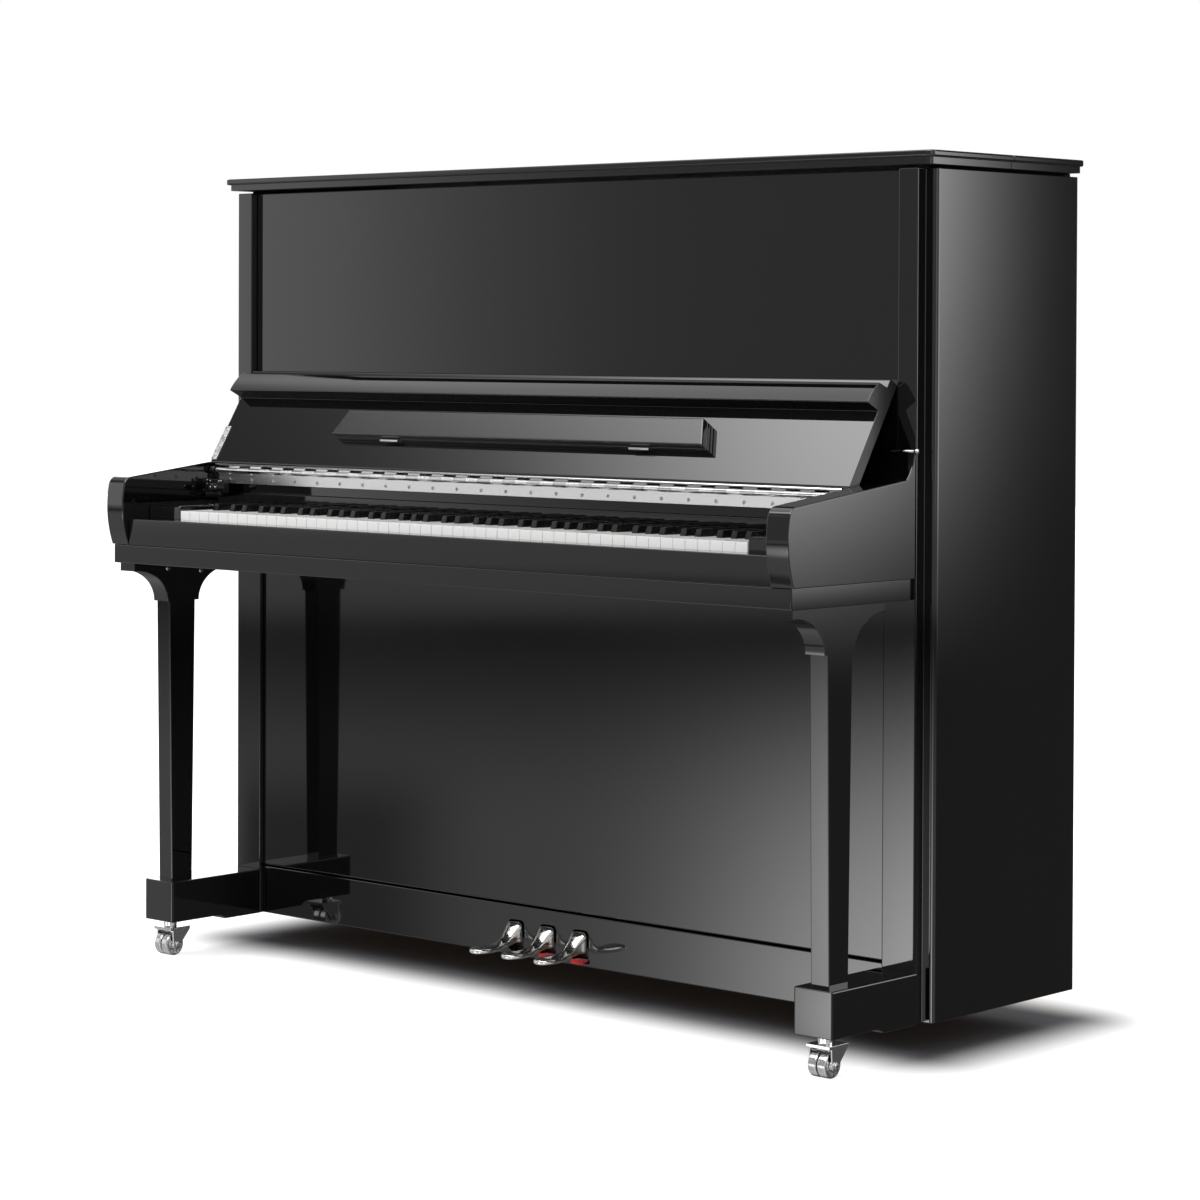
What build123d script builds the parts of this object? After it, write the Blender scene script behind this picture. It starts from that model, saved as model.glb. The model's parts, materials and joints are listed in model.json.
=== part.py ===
"""Upright piano, 132 cm class, with an open fallboard: cabinet, keyboard, action, plate, pedals and casters.

Millimetres. +X is the player's right, +Y points to the back, +Z is up. The origin is on the floor, below the
middle of the whole piano.
"""

import os
from math import asin, cos, degrees, radians, sin

from build123d import *

os.makedirs("parts", exist_ok=True)

# ---------------------------------------------------------------- fits
face_gap = 0.3  # flat pieces that only sit near each other
pin_clearance = 0.05  # radial, a pin that turns in its hole
fall_gap = 2.5  # fallboard end to arm

# ---------------------------------------------------------------- keyboard
white_pitch = 23.5
white_count = 52
key_gap = 1.0
head_length = 50.0
sharp_length = 95.0
sharp_height = 11.0
sharp_base_width = 11.0
sharp_top_width = 9.5
key_thickness = 22.0
key_length = 385.0
key_top_z = 759.0
key_front_y = -279.0
balance_distance = 225.0
key_span = white_pitch * white_count
nameboard_y = key_front_y + 150.0

# ---------------------------------------------------------------- case
case_depth = 674.0
case_half = 752.0
side_thickness = 30.0
side_top_z = 1297.0
case_bottom_z = 53.0
stile_step = 20.0
stile_thickness = 40.0
stile_front_y = -43.0
upper_opening_half = case_half - 55.0
lower_opening_half = case_half - 79.0
edge_round = 7.5
small_round = 2.0
back_y = case_depth / 2
front_y = -case_depth / 2
stile_outer = case_half - stile_step
side_inner = case_half - side_thickness
side_front_y = stile_front_y + stile_step
stile_back_y = stile_front_y + stile_thickness

# ---------------------------------------------------------------- keybed, slip and arms
keybed_thickness = 31.0
keybed_top_z = 701.0
keybed_front_y = -324.0
keybed_half = case_half - 24.5
keybed_back_y = 150.0
slip_thickness = 40.0
slip_height = 44.0
arm_thickness = 41.0
arm_tip_z = 813.3
arm_tip_round = 18.0
arm_top_back_z = 845.0
arm_horn_z = 884.0
keybed_bottom_z = keybed_top_z - keybed_thickness
arm_outer = stile_outer - 0.5
arm_inner = arm_outer - arm_thickness
between_arms = arm_inner - 0.5

# ---------------------------------------------------------------- panels
panel_thickness = 20.0
upper_panel_recess = 13.0
lower_panel_recess = 7.0
upper_panel_bottom_z = 886.0
rail_top_z = 134.0
panel_slot = 3.0
upper_panel_y = stile_front_y + upper_panel_recess
lower_panel_y = stile_front_y + lower_panel_recess

# ---------------------------------------------------------------- fallboard
fall_axis_y = -141.0
fall_axis_z = 822.0
fall_lean = 32.0
fall_face = 10.2  # inner face, in front of the hinge axis
fall_thickness = 19.5
fall_start = 7.5
fall_end = 193.3
fall_half = arm_inner - fall_gap
knuckle_radius = 4.5
knuckle_pin_radius = 2.0
knuckle_length = 27.0
knuckle_count = 50
leaf_thickness = 1.5
shelf_thickness = 20.0
lip_start = 135.5
lip_end = 175.0
lip_depth = 28.5

# ---------------------------------------------------------------- music desk on the fallboard
desk_start = 60.5
desk_end = 107.5
desk_half_bottom = 402.0
desk_half_top = 384.0
batten_thickness = 8.0
flap_thickness = 11.2
flap_gap = 0.8
desk_hinge_x = 271.0
desk_hinge_length = 40.0
desk_hinge_radius = 2.8

# ---------------------------------------------------------------- lid
lid_half = case_half + 10.0
lid_front_y = -50.0
lid_split_y = 156.0
lid_thickness = 10.0
lid_mould_height = 10.0
lid_mould_width = 44.0
lid_mould_inset = 6.0
lid_gap_z = 5.5
lid_corner = 12.0
lid_hinge_radius = 2.5
lid_bottom_z = side_top_z + lid_gap_z
lid_slab_z = lid_bottom_z + lid_mould_height
lid_top_z = lid_slab_z + lid_thickness

# ---------------------------------------------------------------- legs, toes and casters
leg_width = 36.0
leg_inset = 5.5
leg_bracket_height = 68.0
leg_cap_height = 14.0
leg_front_y = -314.5
leg_back_y = -103.5
leg_ledge = 5.5
leg_neck_front_y = -242.0
leg_neck_back_y = -172.0
column_top = (-235.0, -178.0)
column_foot = (-229.0, -184.0)
column_set_in = 3.0
toe_inner = lower_opening_half - 2.5
toe_outer = case_half - 12.0
toe_front_y = -244.4
toe_top_z = 128.5
toe_bottom_z = 60.0
toe_step_y = -142.0
toe_step_length = 16.0
caster_x = case_half - 45.0
caster_front_y = -217.0
caster_rear_x = case_half - 212.0
caster_rear_y = back_y - 47.0
caster_trail = 3.0  # the wheels stand this far in front of the swivel
caster_tail = 26.0  # the fork reaches this far behind it
wheel_radius = 19.0
wheel_width = 14.5
wheel_gap = 2.5
axle_radius = 3.0
fork_plate = 5.0
fork_half = 21.0
fork_wall = 2.5
fork_top_z = 48.0
stem_radius = 6.0
stem_depth = 25.0
collar_radius = 11.0

# ---------------------------------------------------------------- pedals
pedal_spacing = 70.0
pedal_width = 24.0
pad_half_width = 19.0
pedal_tip_y = -135.0
pedal_axis_y = 30.0
pedal_axis_z = 96.0
pedal_axis_radius = 4.0
pedal_slot_width = 34.0
pedal_slot_bottom = 60.0
pedal_slot_top = 110.0
ear_width = 8.0
bottom_board_thickness = 22.0

# ---------------------------------------------------------------- back frame, plate and strings
post_depth = 97.0
post_width = 62.0
post_count = 6
frame_set_in = 2.0
beam_bottom_height = 132.0
beam_top_z = side_top_z - 2.0
beam_top_height = 150.0
soundboard_thickness = 8.0
rib_depth = 14.4
rib_width = 20.0
rib_count = 9
plate_thickness = 12.0
plate_front_y = 190.0
plate_half = side_inner - 8.0
strut_width = 26.0
plate_windows = 5
string_count = 88
bass_count = 30
bass_plane_y = 172.0
treble_plane_y = 179.0
bass_wire_radius = 1.6
treble_wire_radius = 0.8
pin_radius = 3.5
pin_columns = 55
pin_rows = 4
pin_reach = 24.0
frame_back_y = back_y - frame_set_in
frame_front_y = frame_back_y - post_depth
soundboard_y = frame_front_y - face_gap - rib_depth - soundboard_thickness
beam_bottom_z = beam_top_z - beam_top_height
bottom_board_top_z = case_bottom_z + bottom_board_thickness
plate_back_y = plate_front_y + plate_thickness

# ---------------------------------------------------------------- action
action_rail = (120.0, 140.0)
action_rail_z = (885.0, 905.0)
wippen_rail_z = (765.0, 785.0)
bracket_x = (92.0 - case_half, -115.0, case_half - 92.0)
bracket_width = 8.0
bracket_top_z = 1150.0
butt_radius = 8.0
hammer_lean = 20.0
shank_length = 125.0
hammer_reach = 52.0
action_width = 9.0
damper_count = 68
muffler_z = (1075.0, 1120.0)


def box(x, y, z, mode=Mode.ADD):
    """A box between two corners, given as three (low, high) pairs."""
    with Locations(((x[0] + x[1]) / 2, (y[0] + y[1]) / 2, (z[0] + z[1]) / 2)):
        Box(x[1] - x[0], y[1] - y[0], z[1] - z[0], mode=mode)


def rod(start, end, radius, mode=Mode.ADD):
    """A round bar from one point to another."""
    way = Vector(*end) - Vector(*start)
    plane = Plane(origin=start, z_dir=way)
    with Locations(plane.location):
        Cylinder(radius, way.length, align=(Align.CENTER, Align.CENTER, Align.MIN), mode=mode)


def boxes(centres, size):
    """Equal boxes about several centres, added in one step."""
    with Locations(*centres):
        Box(*size)


def rods(centres, radius, length, tilt=0.0):
    """Equal round bars about several centres: along X, or upright and leaning back by a tilt."""
    turn = (0, 90, 0) if tilt is None else (-tilt, 0, 0)
    with Locations(*centres):
        Cylinder(radius, length, rotation=turn)


def save(piece, name):
    piece.part.label = name
    export_step(piece.part, f"parts/{name}.step")


def mirrored(side, low, high):
    """The X span of a piece on one side of the middle."""
    return (low, high) if side > 0 else (-high, -low)


SIDES = (("left", -1), ("right", 1))

# ================================================================ case sides, with their front stiles
for side_name, side in SIDES:
    with BuildPart() as case_side:
        box(mirrored(side, side_inner, case_half), (side_front_y, back_y), (case_bottom_z, side_top_z))
        outer_edge = case_side.edges().filter_by(Axis.Z).sort_by(Axis.Y)[:2].sort_by(Axis.X)
        fillet(outer_edge[-1 if side > 0 else 0], edge_round)
        box(
            mirrored(side, upper_opening_half, stile_outer),
            (stile_front_y, stile_back_y),
            (keybed_bottom_z, side_top_z),
        )
        box(
            mirrored(side, lower_opening_half, stile_outer),
            (stile_front_y, stile_back_y),
            (case_bottom_z, keybed_bottom_z),
        )
        stile_edges = case_side.edges().filter_by(Axis.Z).group_by(Axis.Y)[0]
        chamfer(stile_edges, 1.0)
        # the tongue that the lid rests on
        box(
            mirrored(side, side_inner, side_inner + 18),
            (stile_back_y, frame_back_y),
            (side_top_z, lid_bottom_z - face_gap),
        )
    save(case_side, f"side_{side_name}")

# ================================================================ arms
for side_name, side in SIDES:
    with BuildPart() as arm:
        with BuildSketch(Plane.YZ.offset(arm_inner if side > 0 else -arm_outer)):
            with BuildLine():
                foot = (keybed_front_y - 1, keybed_top_z + face_gap)
                tip = (front_y + 6.5, arm_tip_z)
                nape = (stile_front_y - 21, arm_top_back_z)
                horn = (stile_front_y - 2.5, arm_horn_z)
                stub = (stile_front_y - face_gap, arm_horn_z)
                heel = (stile_front_y - face_gap, keybed_top_z + face_gap)
                ThreePointArc(foot, (front_y, foot[1] + 0.56 * (tip[1] - foot[1])), tip)
                Line(tip, nape)
                ThreePointArc(nape, (stile_front_y - 9, arm_top_back_z + 16), horn)
                Polyline(horn, stub, heel)
                Line(heel, foot)
            make_face()
            fillet(vertices().filter_by(lambda v: abs(v.Y - tip[1]) < 0.01), arm_tip_round)
        extrude(amount=arm_thickness)
        for end in (-1, 0):
            face = arm.faces().sort_by(Axis.X)[end]
            fillet(face.edges().filter_by(lambda e: e.center().Z > foot[1] + 1 and e.center().Y < horn[0]), small_round)
    save(arm, f"arm_{side_name}")

# ================================================================ keybed, key slip and key blocks
with BuildPart() as keybed:
    box((-keybed_half, keybed_half), (keybed_front_y, stile_front_y - face_gap), (keybed_bottom_z, keybed_top_z))
    fillet(keybed.edges().group_by(Axis.Y)[0], small_round)
    box(
        (-upper_opening_half + face_gap, upper_opening_half - face_gap),
        (stile_front_y - face_gap, keybed_back_y),
        (keybed_bottom_z + face_gap, keybed_top_z),
    )
save(keybed, "keybed")

slip_top_z = keybed_top_z + slip_height
with BuildPart() as key_slip:
    box((-between_arms, between_arms), (keybed_front_y, keybed_front_y + slip_thickness), (keybed_top_z, slip_top_z))
    fillet(key_slip.edges().filter_by(Axis.X).group_by(Axis.Z)[-1], small_round)
save(key_slip, "key_slip")

with BuildPart() as key_blocks:
    for _, side in SIDES:
        span = mirrored(side, key_span / 2 + key_gap, between_arms)
        box(span, (key_front_y, nameboard_y), (keybed_top_z, key_top_z + 8))
    chamfer(key_blocks.edges().group_by(Axis.Z)[-1], small_round)
save(key_blocks, "key_blocks")

# ================================================================ legs and toes
for side_name, side in SIDES:
    leg_outer = keybed_half - leg_inset
    leg_inner = leg_outer - leg_width
    with BuildPart() as leg:
        with BuildSketch(Plane.YZ.offset(leg_inner if side > 0 else -leg_outer)):
            with BuildLine():
                neck_z = keybed_bottom_z - leg_bracket_height
                cap_z = keybed_bottom_z - leg_cap_height
                bow_y = leg_front_y + leg_ledge
                Line((leg_front_y, keybed_bottom_z), (leg_back_y, keybed_bottom_z))
                Line((leg_back_y, keybed_bottom_z), (leg_back_y, cap_z))
                bow_height = cap_z - neck_z
                EllipticalCenterArc((leg_back_y, neck_z), leg_back_y - leg_neck_back_y, bow_height, 90, arc_size=90)
                Line((leg_neck_back_y, neck_z), (leg_neck_front_y, neck_z))
                EllipticalCenterArc((bow_y, neck_z), leg_neck_front_y - bow_y, bow_height, 0, arc_size=90)
                Line((bow_y, cap_z), (leg_front_y, cap_z))
                Line((leg_front_y, cap_z), (leg_front_y, keybed_bottom_z))
            make_face()
        extrude(amount=leg_width)
        chamfer(leg.edges().filter_by(GeomType.ELLIPSE), 1.0)
        column_x = mirrored(side, leg_inner + column_set_in, leg_outer)
        for z, (y_low, y_high) in ((neck_z, column_top), (toe_top_z, column_foot)):
            with BuildSketch(Plane.XY.offset(z)):
                with Locations(((column_x[0] + column_x[1]) / 2, (y_low + y_high) / 2)):
                    RectangleRounded(column_x[1] - column_x[0], y_high - y_low, small_round)
        loft()
    save(leg, f"leg_{side_name}")

for side_name, side in SIDES:
    with BuildPart() as toe:
        with BuildSketch(Plane.YZ.offset(toe_inner if side > 0 else -toe_outer)):
            with BuildLine():
                Polyline(
                    (toe_step_y, toe_bottom_z),
                    (toe_front_y, toe_bottom_z),
                    (toe_front_y, toe_top_z),
                    (stile_front_y - face_gap, toe_top_z),
                    (stile_front_y - face_gap, case_bottom_z),
                    (toe_step_y + toe_step_length, case_bottom_z),
                )
                Spline(
                    (toe_step_y + toe_step_length, case_bottom_z),
                    (toe_step_y, toe_bottom_z),
                    tangents=[(-1, 2), (-1, 0)],
                )
            make_face()
        extrude(amount=toe_outer - toe_inner)
        chamfer(toe.edges().filter_by(Axis.Z), 1.5)
        chamfer(toe.edges().filter_by(Axis.Y).group_by(Axis.Z)[-1], 1.0)
        with Locations((side * caster_x, caster_front_y, toe_bottom_z)):
            Hole(stem_radius + pin_clearance, depth=stem_depth)
    save(toe, f"toe_{side_name}")

# ================================================================ lower case
lower_half = lower_opening_half - 0.5
pedal_x = {"left": -pedal_spacing, "middle": 0.0, "right": pedal_spacing}
with BuildPart() as bottom_rail:
    box((-lower_half, lower_half), (lower_panel_y, lower_panel_y + panel_thickness), (case_bottom_z, rail_top_z))
    chamfer(bottom_rail.edges().filter_by(Axis.X).group_by(Axis.Y)[0], 1.0)
    slot_middle_z = (pedal_slot_bottom + pedal_slot_top) / 2
    with BuildSketch(Plane.XZ.offset(-lower_panel_y)):
        for x in pedal_x.values():
            with Locations((x, slot_middle_z)):
                RectangleRounded(pedal_slot_width, pedal_slot_top - pedal_slot_bottom, 6)
    extrude(amount=panel_thickness, both=True, mode=Mode.SUBTRACT)
save(bottom_rail, "bottom_rail")

lower_panel_top_z = keybed_bottom_z - 1.5
with BuildPart() as bottom_panel:
    lower_panel_z = (rail_top_z + panel_slot, lower_panel_top_z)
    box((-lower_half, lower_half), (lower_panel_y, lower_panel_y + panel_thickness - 2), lower_panel_z)
    chamfer(bottom_panel.edges().group_by(Axis.Y)[0], 1.0)
    # hidden dowels that stand the panel on the rail
    for side in (-1, 1):
        for x in (side * lower_half / 2, side * (lower_half - 40)):
            rod((x, lower_panel_y + 11, rail_top_z), (x, lower_panel_y + 11, rail_top_z + panel_slot + 5), 4)
save(bottom_panel, "bottom_panel")

with BuildPart() as bottom_board:
    board_y = lower_panel_y + panel_thickness + face_gap
    box((-lower_half, lower_half), (board_y, frame_front_y - face_gap), (case_bottom_z, bottom_board_top_z))
    wide = side_inner - face_gap
    box((-wide, wide), (stile_back_y + face_gap, frame_front_y - face_gap), (case_bottom_z, bottom_board_top_z))
save(bottom_board, "bottom_board")

# ================================================================ upper case
upper_half = upper_opening_half - 0.5
with BuildPart() as upper_panel:
    upper_y = (upper_panel_y, upper_panel_y + panel_thickness)
    box((-upper_half, upper_half), upper_y, (upper_panel_bottom_z, side_top_z - 1))
    chamfer(upper_panel.edges().group_by(Axis.Y)[0], 1.0)
save(upper_panel, "upper_panel")

shelf_top_z = fall_axis_z - 2
shelf_front_y = fall_axis_y + 6
with BuildPart() as nameboard:
    strip_y = (nameboard_y, nameboard_y + 14)
    box((-between_arms, between_arms), strip_y, (key_top_z + 5, key_top_z + 25))
    recess_y = (nameboard_y + 8, nameboard_y + 20)
    box((-between_arms, between_arms), recess_y, (key_top_z + 15, shelf_top_z - shelf_thickness))
    for side in (-1, 1):
        box(mirrored(side, between_arms - 50, between_arms), strip_y, (keybed_top_z, key_top_z + 20))
save(nameboard, "nameboard")

with BuildPart() as fall_shelf:
    shelf_z = (shelf_top_z - shelf_thickness, shelf_top_z)
    box((-between_arms, between_arms), (shelf_front_y, upper_panel_y + panel_thickness), shelf_z)
    riser_y = (upper_panel_y + 4, upper_panel_y + panel_thickness)
    box((-between_arms, between_arms), riser_y, (shelf_top_z, upper_panel_bottom_z - face_gap))
save(fall_shelf, "fall_shelf")

# ================================================================ fallboard, in the plane of the open board
lean_sin = sin(radians(fall_lean))
lean_cos = cos(radians(fall_lean))
# local x runs up the board, local y stands out of its inner face, local z is +X
fall_plane = Plane(origin=(0, fall_axis_y, fall_axis_z), x_dir=(0, lean_sin, lean_cos), z_dir=(1, 0, 0))


def fall_face_plane(height):
    """The plane parallel to the board's inner face: local x is +X, local y runs up the board."""
    origin = (0, fall_axis_y - lean_cos * height, fall_axis_z + lean_sin * height)
    return Plane(origin=origin, x_dir=(1, 0, 0), z_dir=(0, -lean_cos, lean_sin))


lip_face = fall_face + lip_depth
with BuildPart() as fallboard:
    with BuildSketch(fall_plane):
        with BuildLine():
            Polyline(
                (fall_start, fall_face - fall_thickness),
                (fall_end, fall_face - fall_thickness),
                (fall_end, fall_face),
                (fall_start, fall_face),
                close=True,
            )
        make_face()
        fillet(vertices().sort_by(Axis((0, fall_axis_y, fall_axis_z), fall_plane.x_dir))[-2:], 4)
    extrude(amount=fall_half, both=True)
    with BuildSketch(fall_plane):
        with BuildLine():
            nose_low = (lip_start + 2, lip_face)
            nose_high = (lip_end - 3, lip_face - 7.7)
            crest = (lip_end, lip_face - 10.7)
            root_high = (lip_end + 3, fall_face - 1)
            root_low = (lip_start + 2.5, fall_face - 1)
            under = (lip_start, lip_face - 1.7)
            Polyline(crest, root_high, root_low, under)
            ThreePointArc(under, (lip_start + 0.6, lip_face - 0.5), nose_low)
            ThreePointArc(nose_low, ((lip_start + lip_end) / 2, lip_face - 2.3), nose_high)
            ThreePointArc(nose_high, (lip_end - 0.8, lip_face - 9), crest)
        make_face()
    extrude(amount=fall_half, both=True)
save(fallboard, "fallboard")

knuckle_half = knuckle_length * knuckle_count / 2


def knuckle_spans(first):
    """The X spans of every other knuckle, from the first one."""
    for i in range(first, knuckle_count, 2):
        low = -knuckle_half + i * knuckle_length
        yield low + 0.1, low + knuckle_length - 0.1


with BuildPart() as fall_hinge_fixed:
    leaf_y = (shelf_front_y - leaf_thickness, shelf_front_y)
    box((-knuckle_half, knuckle_half), leaf_y, (shelf_top_z - shelf_thickness, shelf_top_z - 3.2))
    middles = [(low + high) / 2 for low, high in knuckle_spans(0)]
    rods([(x, fall_axis_y, fall_axis_z) for x in middles], knuckle_radius, knuckle_length - 0.2, None)
    tab_y = (fall_axis_y + 2, shelf_front_y - face_gap)
    tab_z = (shelf_top_z - 4.2, fall_axis_z)
    tab_size = (knuckle_length - 0.2, tab_y[1] - tab_y[0], tab_z[1] - tab_z[0])
    boxes([(x, sum(tab_y) / 2, sum(tab_z) / 2) for x in middles], tab_size)
    rod((-knuckle_half, fall_axis_y, fall_axis_z), (knuckle_half, fall_axis_y, fall_axis_z), knuckle_pin_radius)
save(fall_hinge_fixed, "fall_hinge_fixed")

with BuildPart() as fall_hinge_moving:
    with BuildSketch(fall_plane):
        with BuildLine():
            Polyline(
                (fall_start - leaf_thickness, -8),
                (fall_start, -8),
                (fall_start, 9),
                (fall_start - leaf_thickness, 9),
                close=True,
            )
        make_face()
    extrude(amount=knuckle_half, both=True)
    with BuildSketch(*[fall_plane.offset(low) for low, _ in knuckle_spans(1)]):
        Circle(knuckle_radius)
        with Locations((fall_start / 2, 0)):
            Rectangle(fall_start - leaf_thickness / 2, 3)
        Circle(knuckle_pin_radius + pin_clearance, mode=Mode.SUBTRACT)
    extrude(amount=knuckle_length - 0.2)
    # the screwed plate on the board's left end, where the damper works
    with BuildSketch(fall_plane.offset(-fall_half)):
        with Locations((fall_start + 29, fall_face - fall_thickness / 2)):
            RectangleRounded(56, fall_thickness - 2, 2)
    extrude(amount=-leaf_thickness)
save(fall_hinge_moving, "fall_hinge_moving")

# ================================================================ music desk
batten_back = fall_face
batten_front = batten_back + batten_thickness
flap_back = batten_front + flap_gap
desk_axis_up = desk_start - desk_hinge_radius - face_gap
desk_axis_out = batten_front + flap_gap - 0.25
for name, base, thickness in (
    ("desk_batten", batten_back, batten_thickness),
    ("music_desk", flap_back, flap_thickness),
):
    with BuildPart() as board:
        with BuildSketch(fall_face_plane(base)):
            with BuildLine():
                Polyline(
                    (-desk_half_bottom, desk_start),
                    (desk_half_bottom, desk_start),
                    (desk_half_top, desk_end),
                    (-desk_half_top, desk_end),
                    close=True,
                )
            make_face()
        extrude(amount=thickness)
        face_axis = Axis((0, 0, 0), (0, -lean_cos, lean_sin))
        if name == "music_desk":
            chamfer(board.faces().sort_by(face_axis)[-1].edges(), 1.5)
    save(board, name)

with BuildPart() as desk_hinges:
    for x in (-desk_hinge_x, desk_hinge_x):
        with BuildSketch(fall_plane.offset(x - desk_hinge_length / 2)):
            with Locations((desk_axis_up, desk_axis_out)):
                Circle(desk_hinge_radius)
            with Locations((desk_start - leaf_thickness / 2, batten_front - batten_thickness / 2 + 0.5)):
                Rectangle(leaf_thickness, batten_thickness - 1)
            with Locations((desk_axis_up + desk_hinge_radius / 2 + face_gap, batten_front - 1)):
                Rectangle(desk_hinge_radius, 2)
        extrude(amount=desk_hinge_length)
save(desk_hinges, "desk_hinges")

# ================================================================ lid
for name, y_span in (
    ("lid_front", (lid_front_y, lid_split_y - 0.8)),
    ("lid_rear", (lid_split_y + 0.8, back_y)),
):
    front = name == "lid_front"
    with BuildPart() as lid:
        box((-lid_half, lid_half), y_span, (lid_slab_z, lid_top_z))
        if front:
            fillet(lid.edges().filter_by(Axis.Z).group_by(Axis.Y)[0], lid_corner)
        end_edges = lid.edges().filter_by(Axis.Z, reverse=True)
        split_edges = end_edges.group_by(Axis.Y)[-1 if front else 0]
        other_edges = end_edges - split_edges
        if not front:
            other_edges = other_edges - other_edges.group_by(Axis.Y)[-1]
        fillet(other_edges, 3)
        # the moulding below the slab, open towards the split and the back
        mould_y = (lid_front_y + lid_mould_inset, y_span[1]) if front else y_span
        mould_half = lid_half - lid_mould_inset
        with BuildSketch(Plane.XY.offset(lid_bottom_z)):
            with Locations((0, (mould_y[0] + mould_y[1]) / 2)):
                Rectangle(2 * mould_half, mould_y[1] - mould_y[0])
            if front:
                fillet(vertices().group_by(Axis.Y)[0], lid_corner - 3)
            inner_front_y = mould_y[0] + lid_mould_width if front else mould_y[0] - 1
            with Locations((0, (inner_front_y + mould_y[1] + 1) / 2)):
                inner_width = 2 * (mould_half - lid_mould_width)
                Rectangle(inner_width, mould_y[1] + 1 - inner_front_y, mode=Mode.SUBTRACT)
        extrude(amount=lid_mould_height)
        rod(
            (-lid_half, lid_split_y, lid_top_z),
            (lid_half, lid_split_y, lid_top_z),
            lid_hinge_radius + 0.5,
            mode=Mode.SUBTRACT,
        )
    save(lid, name)

with BuildPart() as lid_hinge:
    hinge_half = lid_half - 20
    rod((-hinge_half, lid_split_y, lid_top_z), (hinge_half, lid_split_y, lid_top_z), lid_hinge_radius)
    box((-hinge_half, hinge_half), (lid_split_y, lid_split_y + 0.8), (lid_slab_z + 1, lid_top_z))
save(lid_hinge, "lid_hinge")

# ================================================================ keys, in twelve groups by note name
tail_three = 3 * white_pitch / 5
tail_four = 4 * white_pitch / 7
# note name: (white keys before it in the octave, start and end of its tail from the octave's first key)
octave_notes = {
    "c": (0, 0, tail_three),
    "c_sharp": (None, tail_three, 2 * tail_three),
    "d": (1, 2 * tail_three, 3 * tail_three),
    "d_sharp": (None, 3 * tail_three, 4 * tail_three),
    "e": (2, 4 * tail_three, 5 * tail_three),
    "f": (3, 3 * white_pitch, 3 * white_pitch + tail_four),
    "f_sharp": (None, 3 * white_pitch + tail_four, 3 * white_pitch + 2 * tail_four),
    "g": (4, 3 * white_pitch + 2 * tail_four, 3 * white_pitch + 3 * tail_four),
    "g_sharp": (None, 3 * white_pitch + 3 * tail_four, 3 * white_pitch + 4 * tail_four),
    "a": (5, 3 * white_pitch + 4 * tail_four, 3 * white_pitch + 5 * tail_four),
    "a_sharp": (None, 3 * white_pitch + 5 * tail_four, 3 * white_pitch + 6 * tail_four),
    "b": (6, 3 * white_pitch + 6 * tail_four, 7 * white_pitch),
}
white_notes_before_c = 2
octave_width = 7 * white_pitch
key_back_y = key_front_y + key_length
key_bottom_z = key_top_z - key_thickness
tail_front_y = key_front_y + head_length
half_gap = key_gap / 2
for note, (white_index, tail_low, tail_high) in octave_notes.items():
    with BuildPart() as keys:
        for octave in range(-1, 8):
            octave_x = -key_span / 2 + white_notes_before_c * white_pitch + octave * octave_width
            low = octave_x + tail_low + half_gap
            high = octave_x + tail_high - half_gap
            head_low = octave_x + (white_index or 0) * white_pitch + half_gap
            first_key = octave == -1 and note == "a"
            last_key = octave == 7 and note == "c"
            if octave == -1 and note not in ("a", "a_sharp", "b"):
                continue
            if octave == 7 and note != "c":
                continue
            if white_index is None:
                box((low, high), (tail_front_y + key_gap, key_back_y), (key_bottom_z, key_top_z - 2))
                middle = (low + high) / 2
                sharp_y = (tail_front_y + key_gap, tail_front_y + sharp_length)
                sharp_rise = sharp_height + 2
                for z, width, y_low in (
                    (key_top_z - 2, sharp_base_width, sharp_y[0]),
                    (key_top_z - 2 + sharp_rise, sharp_top_width, sharp_y[0] + 5),
                ):
                    with BuildSketch(Plane.XY.offset(z)):
                        with Locations((middle, (y_low + sharp_y[1]) / 2)):
                            RectangleRounded(width, sharp_y[1] - y_low, 1.2)
                loft()
            else:
                head = (head_low, head_low + white_pitch - key_gap)
                tail = (head[0] if first_key else low, head[1] if last_key else high)
                box(head, (key_front_y, tail_front_y), (key_bottom_z, key_top_z))
                box(tail, (tail_front_y, key_back_y), (key_bottom_z, key_top_z))
    save(keys, f"keys_{note}")

with BuildPart() as key_frame:
    frame_half = key_span / 2
    front_rail_y = (key_front_y + 2, key_front_y + 28)
    back_rail_y = (key_back_y - 22, key_back_y)
    balance_y = key_front_y + balance_distance
    box((-frame_half, frame_half), front_rail_y, (keybed_top_z, keybed_top_z + 20))
    box((-frame_half, frame_half), (balance_y - 12, balance_y + 12), (keybed_top_z, key_bottom_z - 7))
    box((-frame_half, frame_half), (balance_y - 3, balance_y + 3), (key_bottom_z - 7, key_bottom_z - face_gap))
    box((-frame_half, frame_half), back_rail_y, (keybed_top_z, key_bottom_z - face_gap))
    for share in (-0.75, -0.25, 0.25, 0.75):
        x = share * frame_half
        box((x - 25, x + 25), (front_rail_y[0], back_rail_y[1]), (keybed_top_z, keybed_top_z + 12))
save(key_frame, "key_frame")

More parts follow.
